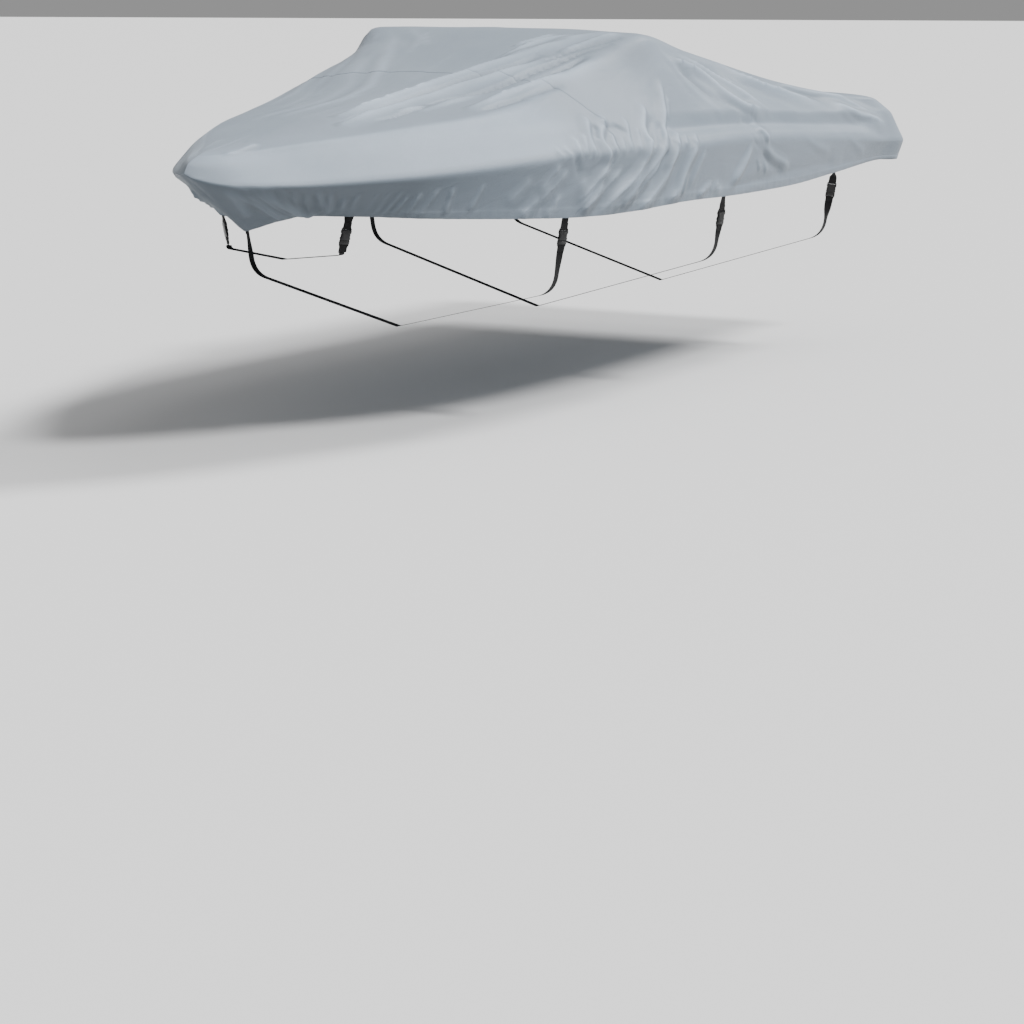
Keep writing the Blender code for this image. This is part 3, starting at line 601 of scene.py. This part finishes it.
# how far points lie from a line, below nought on its right; how far along it, as a share; and the line's length
def fromLine(line, u, v):
    runs = np.diff(line, axis=0)
    lengths = np.linalg.norm(runs, axis=1)
    gone = distances(line)
    away, share = np.full(len(u), 9.0), np.zeros(len(u))
    for k, run in enumerate(runs):
        t = ((u - line[k, 0]) * run[0] + (v - line[k, 1]) * run[1]) / lengths[k] ** 2
        held = np.clip(t, 0, 1)
        du, dv = u - line[k, 0] - held * run[0], v - line[k, 1] - held * run[1]
        distance = np.hypot(du, dv) * np.where(run[0] * dv - run[1] * du < 0, -1, 1)
        closer = np.abs(distance) < np.abs(away)
        at = (gone[k] + t * lengths[k]) / gone[-1]
        away, share = np.where(closer, distance, away), np.where(closer, at, share)
    return away, share, gone[-1]


# rise of the folds at points given by two of their coordinates, and their painted highlight and shade on the cloth
def foldRise(folds, side, first, second, region):
    total, tone = np.zeros_like(first), np.zeros_like(first)
    shape, look = foldShape, foldShape["tone"]
    (hollowAt, hollowWide), (darkAt, darkWide) = shape["hollowPlace"], look["darkPlace"]
    for number, (points, width, height, flank) in enumerate(folds):
        line = smoothLine(mm(points), [5] * (len(points) - 1)) if len(points) > 2 else mm(points)
        half, height = width * 0.0005, height * 0.001
        if side < 0:
            line = line + (shape["starboardShift"] * math.sin(2.3 * number + 1), 0)
            height *= shape["starboardShare"][region] * (1 + 0.2 * math.cos(1.7 * number))
        low, high = line.min(0) - 5 * half, line.max(0) + 5 * half
        near = (first > low[0]) & (first < high[0]) & (second > low[1]) & (second < high[1])
        if not near.any():
            continue
        away, share, length = fromLine(line, first[near], second[near])
        away = away + shape["wander"] * width * 0.001 * np.sin(9 * share * length / 0.35 + 1.9 * number)
        toSteep = away * flank > 0
        across = np.abs(away) / (half * (0.85 + 0.3 * np.clip(share, 0, 1)))
        across = across / np.where(toSteep, 1 - shape["steep"], 1 + 0.5 * shape["steep"])
        deep = np.where(toSteep, *shape["hollow"])
        rise = np.exp(-across ** shape["crest"]) - deep * np.exp(-((across - hollowAt) / hollowWide) ** 2)
        ends = within(share, *shape["ends"])
        total[near] += height * ends * rise * (1 + 0.18 * np.sin(7 * share + number))
        strength = min(max(abs(height) / look["full"], look["least"]), 1) * (1 if height > 0 else -1)
        shaded = toSteep if region == "top" else away < 0
        beside = np.where(shaded, np.exp(-((across - darkAt) / darkWide) ** 2), 0) * (height > 0) * look["darkShare"]
        # painted highlight along the crest, less painted shade in the hollow on its shaded flank
        tone[near] += strength * ends * (np.exp(-(across * look["narrow"][region]) ** 1.5) - beside)
    tone = np.clip(tone, -1, 1)
    return total, tone * np.where(tone > 0, look["pale"], look["dark"])


# outward unit normals of a grid whose rows run forward and whose columns run up the port side
def gridNormals(grid):
    return unit(np.cross(np.gradient(grid, axis=1), np.gradient(grid, axis=0)))


straps = {
    "columns": ("station", "half", "height", "lowest", "tab"),
    "rows": ((4110, 262, 745, 716, 50), (3285, 735, 545, 362, 44), (2080, 884, 585, 318, 60),
             (785, 868, 580, 312, 50)),
    "hold": 0.07,              # how far along the hem a tab holds it flat
    "holdPlaces": (0.45, 0.9), # and how far up
    "webbing": 0.002,
    "width": 0.038,
    "gap": 0.0003,
    "barSeat": 0.0005,
    "lap": 0.025,
    "neck": 0.010,
    "bar": 0.0016,
    "clipBar": 0.066,
    "twist": 0.14,
    "turnBend": 0.07,
    "tabUp": 0.058,            # how far the tab reaches up behind the skirt
    "tabSteps": (6, 9),        # sections up behind the skirt, and down to the lap
    "lapSteps": (6, 14),       # along the lap, and round the bar
    "beltSteps": (20, 14, 24), # in the twist, in the bend, and across underneath
    "lapFace": 0.0033,         # from the middle of a lap to its outer face
}


def foldedHalf(side, steps, places):
    grid = coverHalf(side, steps, places)
    station, half = cover["middle"] - grid[..., 1], side * grid[..., 0]
    height = grid[..., 2] + cover["foot"]
    onTop = smooth(2.6, 3.0, places)
    top, topTone = foldRise(topFolds, side, station, half, "top")
    beside, besideTone = foldRise(sideFolds, side, station, height, "side")
    rise = top * onTop + beside * (1 - onTop)
    # the tone is the painted highlight and shade of the folds
    tone = topTone * onTop + besideTone * (1 - onTop)
    # slow swells, and a puckered hem
    swell, (puckerUp, puckerDeep) = cover["swell"], cover["pucker"]
    sideSwell = np.sin(station * 7.3 + height * 5 + side) * np.sin(height * 13 + station * 2.1)
    topSwell = np.sin(station * 5.1 + half * 6 + side) * np.sin(half * 9 - station * 3.7)
    rise += swell["side"] * sideSwell * (1 - onTop)
    rise += swell["top"] * topSwell * onTop
    pucker = np.sin(station * 118 + 3 * np.sin(station * 9)) * np.sin(station * 37 + side)
    rise += puckerDeep * pucker * np.exp(-(places / puckerUp) ** 2)
    for row in straps["rows"]:                    # the tabs hold the hem flat
        tab = np.exp(-((station - row[0] * 0.001) / straps["hold"]) ** 4) * (1 - smooth(*straps["holdPlaces"], places))
        rise = rise * (1 - tab)
        tone = tone * (1 - 0.7 * tab)
    # the cloth falls in sharply below the edge, and comes out again to the lip
    edge, deepest, lip = cover["tuck"]["from"]
    tuck = np.where(places > deepest, np.clip((edge - places) / (edge - deepest), 0, 1), smooth(lip, deepest, places))
    rise -= cover["tuck"]["depth"] * tuck * within(station, *cover["tuck"]["stations"])
    hemLow, hemHigh, hemRise = cover["hemStep"]
    rise += hemRise * (1 - smooth(hemLow, hemHigh, places))    # the hem is two layers thick
    # painted light: a paler band where the front panel slopes between lip and shoulder
    tight = cover["tight"]
    tone = tone + tight["pale"] * within(station, *tight["stations"]) * within(places, *tight["places"])
    return grid + gridNormals(grid) * side * rise[..., None], tone


def wholeCover(steps, places):
    # each half's tone is the painted highlight and shade of its folds
    (port, portTone), (starboard, starboardTone) = (foldedHalf(side, steps, places) for side in (1, -1))
    tone = np.concatenate([portTone, starboardTone[:, -2::-1]], axis=1)
    crown = (port[:, -1:] + starboard[:, -1:]) / 2
    crown[..., 0] = 0
    outer = np.concatenate([port[:, :-1], crown, starboard[:, -2::-1]], axis=1)
    for end in (0, -1):                           # the first and last ribs lie on the centreline
        outer[end, :, 0] = 0
        outer[end] = (outer[end] + outer[end, ::-1]) / 2
    return outer, tone


# a mesh as a piece in the scene, smooth between edges sharper than so many degrees; lengths and painted light go by
# point
def addPiece(name, points, faces, mat, sharp, lengths=None, paintedFoldShading=None):
    mesh = bpy.data.meshes.new(name)
    mesh.from_pydata(np.array(points).tolist(), [], faces)
    if lengths is not None:
        layer = mesh.uv_layers.new(name="lengths")
        corners = np.zeros(len(mesh.loops), int)
        mesh.loops.foreach_get("vertex_index", corners)
        layer.data.foreach_set("uv", np.array(lengths)[corners].ravel())
    if paintedFoldShading is not None:
        mesh.attributes.new("paintedFoldShading", "FLOAT", "POINT").data.foreach_set("value", paintedFoldShading)
    bm = bmesh.new()
    bm.from_mesh(mesh)
    bmesh.ops.recalc_face_normals(bm, faces=bm.faces)
    bm.to_mesh(mesh)
    bm.free()
    mesh.shade_smooth()
    mesh.set_sharp_from_angle(angle=math.radians(sharp))
    mesh.materials.append(mat)
    piece = addObject(name, mesh)
    made.append(piece)
    return piece


# One panel as a thin closed sheet. The port half keeps every row and column, the starboard half every second one.
def buildPanel(name, outer, inner, lengths, tone, closedRow, seamRow):
    rows, columns = outer.shape[:2]
    crown = (columns - 1) // 2
    keep = np.zeros((rows, columns), bool)
    keep[:, :crown + 1] = True
    keep[::2, crown::2] = True
    keep[closedRow, crown + 1:] = False
    number = -np.ones((rows, columns), int)
    number[keep] = np.arange(keep.sum())
    number[closedRow, crown + 1:] = number[closedRow, crown - 1::-1]
    count = keep.sum()
    faces = []

    def addFace(corners, flip=False):
        ring = list(dict.fromkeys(int(c) for c in corners))
        if len(ring) > 2:
            faces.append(ring[::-1] if flip else ring)

    def addBoth(ring):                            # outside and inside
        addFace(ring)
        addFace([corner + count for corner in ring], True)

    for row in range(rows - 1):
        for column in range(crown):
            addBoth([number[row, column], number[row + 1, column], number[row + 1, column + 1],
                     number[row, column + 1]])
    for row in range(0, rows - 1, 2):
        for column in range(crown, columns - 1, 2):
            ring = [number[row, column]]
            if column == crown:
                ring.append(number[row + 1, column])
            ring.append(number[row + 2, column])
            if row + 2 == closedRow:
                ring.append(number[row + 2, column + 1])
            ring += [number[row + 2, column + 2], number[row, column + 2]]
            if row == closedRow:
                ring.append(number[row, column + 1])
            addBoth(ring)
    hems = [number[:, 0], number[rows - 1 - (rows - 1) % 2::-2, -1]]
    seam = number[seamRow, keep[seamRow]]
    for rim, flip in ((hems[0], False), (hems[1], False), (seam if seamRow == 0 else seam[::-1], True)):
        for first, second in zip(rim, rim[1:]):
            addFace((first, second, second + count, first + count) if flip else
                    (second, first, first + count, second + count))
    print(f"{name}: {len(faces)} faces")
    # the tone, painted highlight and shade of the folds and the painted light band, goes onto the mesh by point
    return addPiece(name, np.concatenate([outer[keep], inner[keep]]), faces, materials["cloth"], 60,
                    np.tile(lengths[keep], (2, 1)), np.tile(tone[keep], 2))


def buildCover():
    steps, places = rowSteps(), columnPlaces()
    outer, tone = wholeCover(steps, places)
    normal = gridNormals(outer)
    for end in (0, -1):
        normal[end, :, 0] = 0
        normal[end] = unit(normal[end] + normal[end, ::-1])
    across = np.concatenate([places, places[-2::-1]])
    inner = outer - normal * np.where(across <= cover["hemShare"], cover["hem"], cover["cloth"])[None, :, None]
    for column in (0, -1):                        # the hem's lower edge is rounded
        outer[:, column] -= normal[:, column] * cover["hemRound"]
        inner[:, column] += normal[:, column] * cover["hemRound"]
    up = np.array([distances(row) for row in outer])
    middle = (up.shape[1] - 1) // 2
    up -= up[:, middle:middle + 1]
    along = distances(outer.mean(1))
    lengths = np.stack([np.repeat(along[:, None], up.shape[1], axis=1), up], axis=-1)
    seam = sum(steps[:cover["seamRib"]])
    start = seam - cover["tuckRows"]
    pressedIn, pressedOut = cover["seamThin"]
    # the rear panel's edge is pressed thin over the front panel, whose edge lies under it
    rear = [grid[:seam + 1].copy() for grid in (outer, inner, lengths, tone)]
    rear[0][-1] -= normal[seam] * pressedOut
    rear[1][-1] += normal[seam] * pressedIn
    front = [grid[start:].copy() for grid in (outer, inner, lengths, tone)]
    sink = np.zeros(len(front[0]))
    sink[:len(cover["seamSink"])] = cover["seamSink"]
    for grid in front[:2]:
        grid -= normal[start:] * sink[:, None, None]
    panels = buildPanel("rear_cloth", *rear, 0, seam), buildPanel("front_cloth", *front, len(sink) - 1, 0)
    return panels, outer, normal, seam, places


(rearCloth, frontCloth), outerFace, outerNormal, seamRow, columnPlace = buildCover()
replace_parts(rearCloth, "rear_panel")
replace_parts(frontCloth, "front_panel")
print("the cloth is made")


def nodePoints(name):
    mesh = nodes[name].data
    points = np.zeros(len(mesh.vertices) * 3)
    mesh.vertices.foreach_get("co", points)
    return points.reshape(-1, 3)


# how a strap's end lies, read from its packed buckle and tab: across, down and outward, and the points it passes
def strapPlace(side, word, number):
    place = dict(zip(straps["columns"], mm(straps["rows"][number - 1])))
    socket, clip = (nodePoints(f"{kind}_{word}_{number}") for kind in ("socket", "clip"))
    down = unit(clip.mean(0) - socket.mean(0))
    flat = socket - socket.mean(0)
    flat = flat - np.outer(flat @ down, down)
    out = np.linalg.eigh(flat.T @ flat)[1][:, 1]      # with its length taken out, it is thinnest outward
    out = unit(out - down * (out @ down))
    if out @ (side, 0, 0) < 0:
        out = -out
    wide = side * np.cross(down, out)
    middle = sum(axis * (np.min(socket @ axis) + np.max(socket @ axis)) / 2 for axis in (wide, out))
    bar = middle + down * (np.min(socket @ down) + straps["bar"])
    seat = bar - down * place["tab"] - out * (straps["webbing"] + straps["gap"]) / 2
    tab = nodePoints(f"tab_{word}_{number}")
    above = tab[(tab - seat) @ -down > 0.03]
    far = np.linalg.norm(above - seat, axis=1)
    hemUp = unit(above[far > far.max() - 0.004].mean(0) - seat)
    fore = cover["middle"] - place["station"]
    corner = np.array((side * place["half"], fore, place["height"] - cover["foot"]))
    lowest = np.array((0.0, fore, place["lowest"] - cover["foot"]))
    place.update(side=side, down=down, out=out, wide=wide, bar=bar, seat=seat, hemUp=hemUp, corner=corner,
                 lowest=lowest)
    return place


def turned(start, end, share):
    share = smooth(0, 1, share)
    return unit(start * (1 - share) + end * share)


# webbing from behind a bar round to its front: way is 1 round the bar's lower side, -1 round its upper one
def lapSections(place, alongBar, way):
    near = (straps["webbing"] + straps["gap"]) / 2
    reach = straps["bar"] + straps["barSeat"] + straps["webbing"] / 2
    middle = place["bar"] + place["down"] * alongBar
    wide, down, out = place["wide"], place["down"] * way, place["out"]
    backSteps, bendSteps = straps["lapSteps"]
    back = []
    for k in range(backSteps + 1):                    # the free end, then the neck opening towards the bar
        along = straps["lap"] + (straps["bar"] - straps["lap"]) * k / backSteps
        apart = near + (reach - near) * smooth(straps["neck"] * 1.1, straps["bar"], along)
        back.append((middle - down * along - out * apart, wide, out))
    bend = []
    for k in range(1, bendSteps):
        angle = math.pi * k / bendSteps
        inward = math.cos(angle) * out - math.sin(angle) * down
        bend.append((middle - reach * inward, wide, inward))
    front = [(point + 2 * out * ((middle - point) @ out), wide, -out) for point, _, _ in reversed(back)]
    return back + bend + front


# the upper end of a tab lies flat against the back of the skirt
def tabSections(place):
    first = place["seat"] + place["hemUp"] * straps["tabUp"]
    apart = np.linalg.norm(outerFace - first, axis=2)
    nearest = np.unravel_index(np.argmin(apart), apart.shape)
    facing = outerNormal[nearest]
    first = first + facing * ((outerFace[nearest] - first) @ facing - cover["hem"] - straps["webbing"])
    upward = unit(first - place["seat"])
    topWide = place["wide"] - facing * (place["wide"] @ facing)
    topWide = unit(topWide - upward * (topWide @ upward))
    topOut = unit(np.cross(topWide, upward) * -place["side"])
    upSteps, freeSteps = straps["tabSteps"]
    sections = [(first + (place["seat"] - first) * (k / upSteps), topWide, topOut) for k in range(upSteps)]
    free = place["tab"] - straps["lap"]
    for k in range(freeSteps):
        f = k / freeSteps
        out = turned(topOut, place["out"], f) if k else unit(topOut + place["out"])
        sections.append((place["seat"] + place["down"] * free * f, turned(topWide, place["wide"], f), out))
    return sections + lapSections(place, 0.0, 1)


# from the clip down to the corner, round it, and across underneath to the middle
def beltSide(place):
    side = place["side"]
    sections = lapSections(place, straps["clipBar"], -1)[::-1]
    start, corner, lowest = sections[-1][0], place["corner"], place["lowest"]
    length = np.linalg.norm(corner - start)
    bend = min(straps["turnBend"], length * 0.6, np.linalg.norm(lowest - corner) * 0.5)
    enter, leave = corner + unit(start - corner) * bend, corner + unit(lowest - corner) * bend
    twist = min(straps["twist"], length - bend)
    twistSteps, bendSteps, underSteps = straps["beltSteps"]
    share = [k / twistSteps for k in range(1, twistSteps + 1)]
    path = [start + (enter - start) * f * twist / (length - bend) for f in share]
    for k in range(0 if twist < length - bend else 1, bendSteps + 1):
        f = k / bendSteps
        path.append((1 - f) ** 2 * enter + 2 * f * (1 - f) * corner + f ** 2 * leave)
    path += [leave + (lowest - leave) * k / underSteps for k in range(1, underSteps + 1)]
    share += [1.0] * (len(path) - len(share))
    for k, point in enumerate(path):
        before = path[k - 1] if k else start
        run = np.array([-side, 0.0, 0.0])
        if k + 1 < len(path):
            run = unit(unit(point - before) + unit(path[k + 1] - point))
        wide = turned(place["wide"], np.array([0.0, -1.0, 0.0]), share[k])
        wide = unit(wide - run * (wide @ run))
        sections.append((point, wide, side * np.cross(wide, run)))
    return sections


# outline of the webbing, with rounded edges and a shallow hollow along the middle of each face
def bandShape():
    half, thick = straps["width"] / 2, straps["webbing"] / 2
    side = [(half - 0.0009, 0.80 * thick), (half - 0.0003, 0.45 * thick)]
    face = [(a, b * thick) for a, b in ((-half + 0.0022, 1.0), (-half * 0.62, 0.97), (-half * 0.56, 0.86), (0.0, 0.92),
                                        (half * 0.56, 0.86), (half * 0.62, 0.97), (half - 0.0022, 1.0))]
    right = face + side + [(half, 0.0)] + [(a, -b) for a, b in side[::-1]]
    left = [(a, -b) for a, b in face[::-1]] + [(-a, -b) for a, b in side] + [(-half, 0.0)]
    return right + left + [(-a, b) for a, b in side[::-1]]


# a woven band swept through its sections (point, across, outward), and its length
def addBand(name, sections):
    ring = bandShape()
    count = len(ring)
    points = [point + wide * a + out * b for point, wide, out in sections for a, b in ring]
    faces = []
    for row in range(len(sections) - 1):
        for k in range(count):
            a, b = row * count + k, row * count + (k + 1) % count
            faces.append((a, b, b + count, a + count))
    faces.append(tuple(range(count))[::-1])
    faces.append(tuple(range(len(points) - count, len(points))))
    along = distances(np.array([point for point, _, _ in sections]))
    lengths = [(at, a) for at in along for a, _ in ring]
    print(f"{name}: {along[-1]:.3f} m long")
    return addPiece(name, points, faces, materials["webbing"], 40, lengths)


# Moulded buckle in its own millimetres: a is across, d down from the middle of the socket's bar, o outward.
buckle = {
    "bar": 1.6,
    "halfWidth": 23.0,
    "cheek": 19.4,
    "socketDepth": (3.5, 5.5),         # half the thickness of its hollow and of its body
    "clipDepth": (2.5, 4.5),
    "postDepth": 3.6,
    "shellInside": 3.2,
    "socketBody": (5.8, 16.0, 44.0),
    "window": (18.0, 34.0),
    "clipBase": (44.3, 61.3),
    "clipBar": 66.0,
    "pad": (20.0, 32.0),
    "arm": (11.0, 16.0),
    "guide": (3.0, 30.0),
    "socketRidges": (10.4, 12.9, 15.4),
    "clipRidges": (3.4, 6.2, 9.0),
    "thumbRidges": (4.0, 6.6, 9.0),
    "edge": 0.8,                       # how far the moulded edges are rounded
}


# a closed plate: an outline of (a, d) corners between two values of o, its edges rounded
def addPlate(parts, outline, low, high, edge=buckle["edge"], segments=2):
    bm = bmesh.new()
    ends = [[bm.verts.new((a, d, o)) for a, d in outline] for o in (low, high)]
    bm.faces.new(ends[0][::-1])
    bm.faces.new(ends[1])
    for k in range(len(outline)):
        after = (k + 1) % len(outline)
        bm.faces.new((ends[0][k], ends[0][after], ends[1][after], ends[1][k]))
    bmesh.ops.recalc_face_normals(bm, faces=bm.faces)
    bmesh.ops.bevel(bm, geom=list(bm.edges), offset=edge, offset_type="OFFSET", segments=segments, profile=0.5,
                    affect="EDGES", clamp_overlap=True)
    start = sum(len(points) for points, _ in parts)
    bm.verts.index_update()
    parts.append(([tuple(v.co) for v in bm.verts], [[start + v.index for v in f.verts] for f in bm.faces]))
    bm.free()


def mirrored(outline):
    return [(-a, d) for a, d in outline][::-1]


# a plate on each side, as deep outward as inward
def addPair(parts, outline, depth, *edge):
    for corners in (outline, mirrored(outline)):
        addPlate(parts, corners, -depth, depth, *edge)


# a low panel or ridge on the face that looks outward (1) or inward (-1)
def addRaised(parts, outline, way, face, rise):
    low, high = sorted((way * (face - 0.3), way * (face + rise)))
    addPlate(parts, outline, low, high, 0.25, 1)


def addRidges(parts, half, places, face):
    for way in (1, -1):
        for at in places:
            outline = [(half, at - 0.55), (half, at + 0.55), (-half, at + 0.55), (-half, at - 0.55)]
            addRaised(parts, outline, way, face, 0.5)


# a round bar across the buckle, a little thinner at its middle
def addBar(parts, down, half, count=14):
    start = sum(len(points) for points, _ in parts)
    points, faces = [], []
    places = (-half, -half + 1.2, -half * 0.3, half * 0.3, half - 1.2, half)
    for a in places:
        radius = buckle["bar"] * (1.0 if abs(a) > half * 0.5 else 0.93)
        points += [(a, down + radius * math.cos(t), radius * math.sin(t))
                   for t in (2 * math.pi * k / count for k in range(count))]
    for row in range(len(places) - 1):
        for k in range(count):
            a, b = start + row * count + k, start + row * count + (k + 1) % count
            faces.append([a, b, b + count, a + count])
    faces.append([start + k for k in range(count)][::-1])
    faces.append([start + (len(places) - 1) * count + k for k in range(count)])
    parts.append((points, faces))


def socketParts():
    parts, b = [], buckle
    body, hollow, mouth = b["socketBody"]
    wide, cheek, post = b["halfWidth"], b["cheek"], b["postDepth"]
    inside, face = b["socketDepth"]
    top, foot = b["window"]
    addBar(parts, 0.0, cheek + 0.8)
    shield = [(wide - 1.2, body - 0.5), (wide, body + 2), (wide, top - 1.5), (wide - 3.4, top + 2),
              (wide - 3.8, 26), (wide - 3.2, foot - 2), (wide - 0.3, foot + 1.5), (wide - 0.6, mouth - 3),
              (wide - 2.6, mouth)]
    for low, high in ((b["shellInside"], face), (-face, -b["shellInside"])):
        addPlate(parts, shield + mirrored(shield), low, high)
    addPlate(parts, [(wide - 1, body), (wide - 1, hollow), (1 - wide, hollow), (1 - wide, body)], -post, post, 0.4)
    addPair(parts, [(cheek, -1.9), (cheek + 1.6, -2.6), (wide - 0.4, -1.0), (wide, 2.0), (wide, body + 1),
                    (cheek, body + 1)], inside, 0.7)
    for low, high in ((hollow - 0.5, top), (foot, mouth - 0.3)):
        addPair(parts, [(cheek, low), (wide - 0.8, low), (wide - 0.8, high), (cheek, high)], post, 0.4)
    panel = [(11.5, 20), (13.5, 22), (13.5, 36), (11, 39.5)]
    for way in (1, -1):
        addRaised(parts, panel + mirrored(panel), way, face, 0.4)
    addRidges(parts, 15.0, b["socketRidges"], face)
    return parts


def clipParts():
    parts, b = [], buckle
    base, slot = b["clipBase"]
    wide, cheek, bar = b["halfWidth"], b["cheek"], b["clipBar"]
    thin, thick = b["clipDepth"]
    inner, outer = b["arm"]
    top, foot = b["pad"]
    half, tip = b["guide"]
    addBar(parts, bar, cheek + 0.8)
    block = [(wide - 2.4, base), (wide - 0.2, base + 3), (wide - 0.2, slot - 1.5), (wide - 2.2, slot)]
    addPlate(parts, block + mirrored(block), -thick, thick)
    addRidges(parts, 14.5, [base + at for at in b["clipRidges"]], thick)
    addPair(parts, [(cheek, slot - 1.5), (wide - 0.4, slot - 1.5), (wide, slot + 1.5), (wide, bar - 1.5),
                    (wide - 0.8, bar + 1.2), (cheek + 1.4, bar + 2.4), (cheek, bar + 1.7)], thin, 0.7)
    addPair(parts, [(inner, base + 0.6), (inner + 0.6, foot), (inner - 0.2, top + 4), (inner + 1.5, top + 0.6),
                    (outer + 1.0, top), (wide - 1.6, top + 1.0), (wide, top + 3.2), (wide, foot - 2.5),
                    (wide - 1.4, foot), (outer + 1.2, foot + 0.6), (outer, foot + 4), (outer + 0.6, base + 0.6)],
            thin, 0.5)
    for at in [top + step for step in b["thumbRidges"]]:        # where the thumb presses
        addPair(parts, [(wide - 0.6, at - 0.5), (wide + 0.35, at - 0.35), (wide + 0.35, at + 0.35),
                        (wide - 0.6, at + 0.5)], thin - 0.4, 0.2, 1)
    guide = [(half, base + 0.6), (half, tip + 2), (half - 1.2, tip)]
    addPlate(parts, guide + mirrored(guide), -thin, thin, 0.4)
    return parts


def addBuckleHalf(name, parts, place):
    axes = np.array([place["wide"], place["down"], place["out"]])
    points = np.concatenate([np.array(points) for points, _ in parts])
    faces = [face for _, faces in parts for face in faces]
    return addPiece(name, place["bar"] + mm(points) @ axes, faces, materials["plastic"], 32)


stitchLook = {
    "cloth": (0.0062, 0.0018, 0.0005),         # length, gap and radius
    "lap": (0.0026, 0.0011, 0.00035),
    "lapRows": (0.014, 0.021),                 # how far the rows across a lap lie from its bar
    "lapHalf": 0.015,
    "hemPlace": 0.15,                          # the row along the hem lies just below this place
    "seamRows": (0.7, 1.6),                    # and those of the seam lie so many rows of cloth aft of its edge
}


# short raised stitches along rows of (path, outward)
def addStitches(name, rows, size, mat):
    length, gap, radius = size
    points, faces = [], []
    for path, normals in rows:
        gone = distances(path)
        count = int(gone[-1] / (length + gap))
        for k in range(count):
            at = (k + 0.5) * gone[-1] / count
            ends = [np.array([np.interp(at + s * length, gone, path[:, i]) for i in range(3)]) for s in (-0.5, 0.5)]
            out = unit(np.array([np.interp(at, gone, normals[:, i]) for i in range(3)]))
            across = np.cross(unit(ends[1] - ends[0]), out)
            start = len(points)
            middle = (ends[0] + ends[1]) / 2
            points += [ends[0] - out * radius * 0.6, middle + across * radius, middle + out * radius,
                       middle - across * radius, middle - out * radius * 0.6, ends[1] - out * radius * 0.6]
            for a, b in ((1, 2), (2, 3), (3, 4), (4, 1)):
                faces += [(start, start + a, start + b), (start + 5, start + b, start + a)]
    return addPiece(name, points, faces, mat, 80)


def addLapStitches(name, place):
    rows = []
    for alongBar, way in ((0.0, 1), (straps["clipBar"], -1)):
        for inset in stitchLook["lapRows"]:           # across each lap, on its outer face
            spot = place["bar"] + place["down"] * (alongBar - way * inset) + place["out"] * straps["lapFace"]
            reach = place["wide"] * stitchLook["lapHalf"]
            rows.append((np.array([spot - reach, spot + reach]), np.array([place["out"]] * 2)))
    addStitches(name, rows, stitchLook["lap"], materials["blackThread"])


def buildStraps():
    socketHalf, clipHalf = socketParts(), clipParts()
    for number in range(1, len(straps["rows"]) + 1):
        belt = []
        for side, word in ((1, "port"), (-1, "starboard")):
            end = f"{word}_{number}"
            place = strapPlace(side, word, number)
            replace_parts(addBand("webbing_tab_" + end, tabSections(place)), "tab_" + end)
            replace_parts(addBuckleHalf("buckle_socket_" + end, socketHalf, place), "socket_" + end)
            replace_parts(addBuckleHalf("buckle_clip_" + end, clipHalf, place), "clip_" + end)
            addLapStitches("lap_stitches_" + end, place)
            belt.append(beltSide(place))
        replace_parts(addBand(f"belly_webbing_{number}", belt[0] + belt[1][-2::-1]), f"belly_strap_{number}")


buildStraps()
print("straps, tabs and buckles are made")


# rows of stitches along the hem and across both sides of the seam's lap
def clothStitches():
    hemColumn = int(np.argmin(np.abs(columnPlace - stitchLook["hemPlace"]))) - 1
    rearRows, frontRows, seamRows = [], [], []
    for column in (hemColumn, outerFace.shape[1] - 1 - hemColumn):
        line, facing = outerFace[:, column], outerNormal[:, column]
        rearRows.append((line[:seamRow - 1], facing[:seamRow - 1]))
        frontRows.append((line[seamRow + 2:], facing[seamRow + 2:]))
    for back in stitchLook["seamRows"]:
        low = seamRow - math.ceil(back)
        share = math.ceil(back) - back
        line = outerFace[low] * (1 - share) + outerFace[low + 1] * share
        seamRows.append((line[4:-4], outerNormal[low, 4:-4]))
    return [addStitches(name, rows, stitchLook["cloth"], materials["thread"]) for name, rows in (
        ("rear_hem_stitches", rearRows), ("front_hem_stitches", frontRows), ("seam_stitches", seamRows))]


rearHem, frontHem, seamStitches = clothStitches()
print("hem and seam are stitched")

for piece in made:
    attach(piece, "root")
    print(f"{piece.name}: {sum(len(face.vertices) - 2 for face in piece.data.polygons)} triangles")
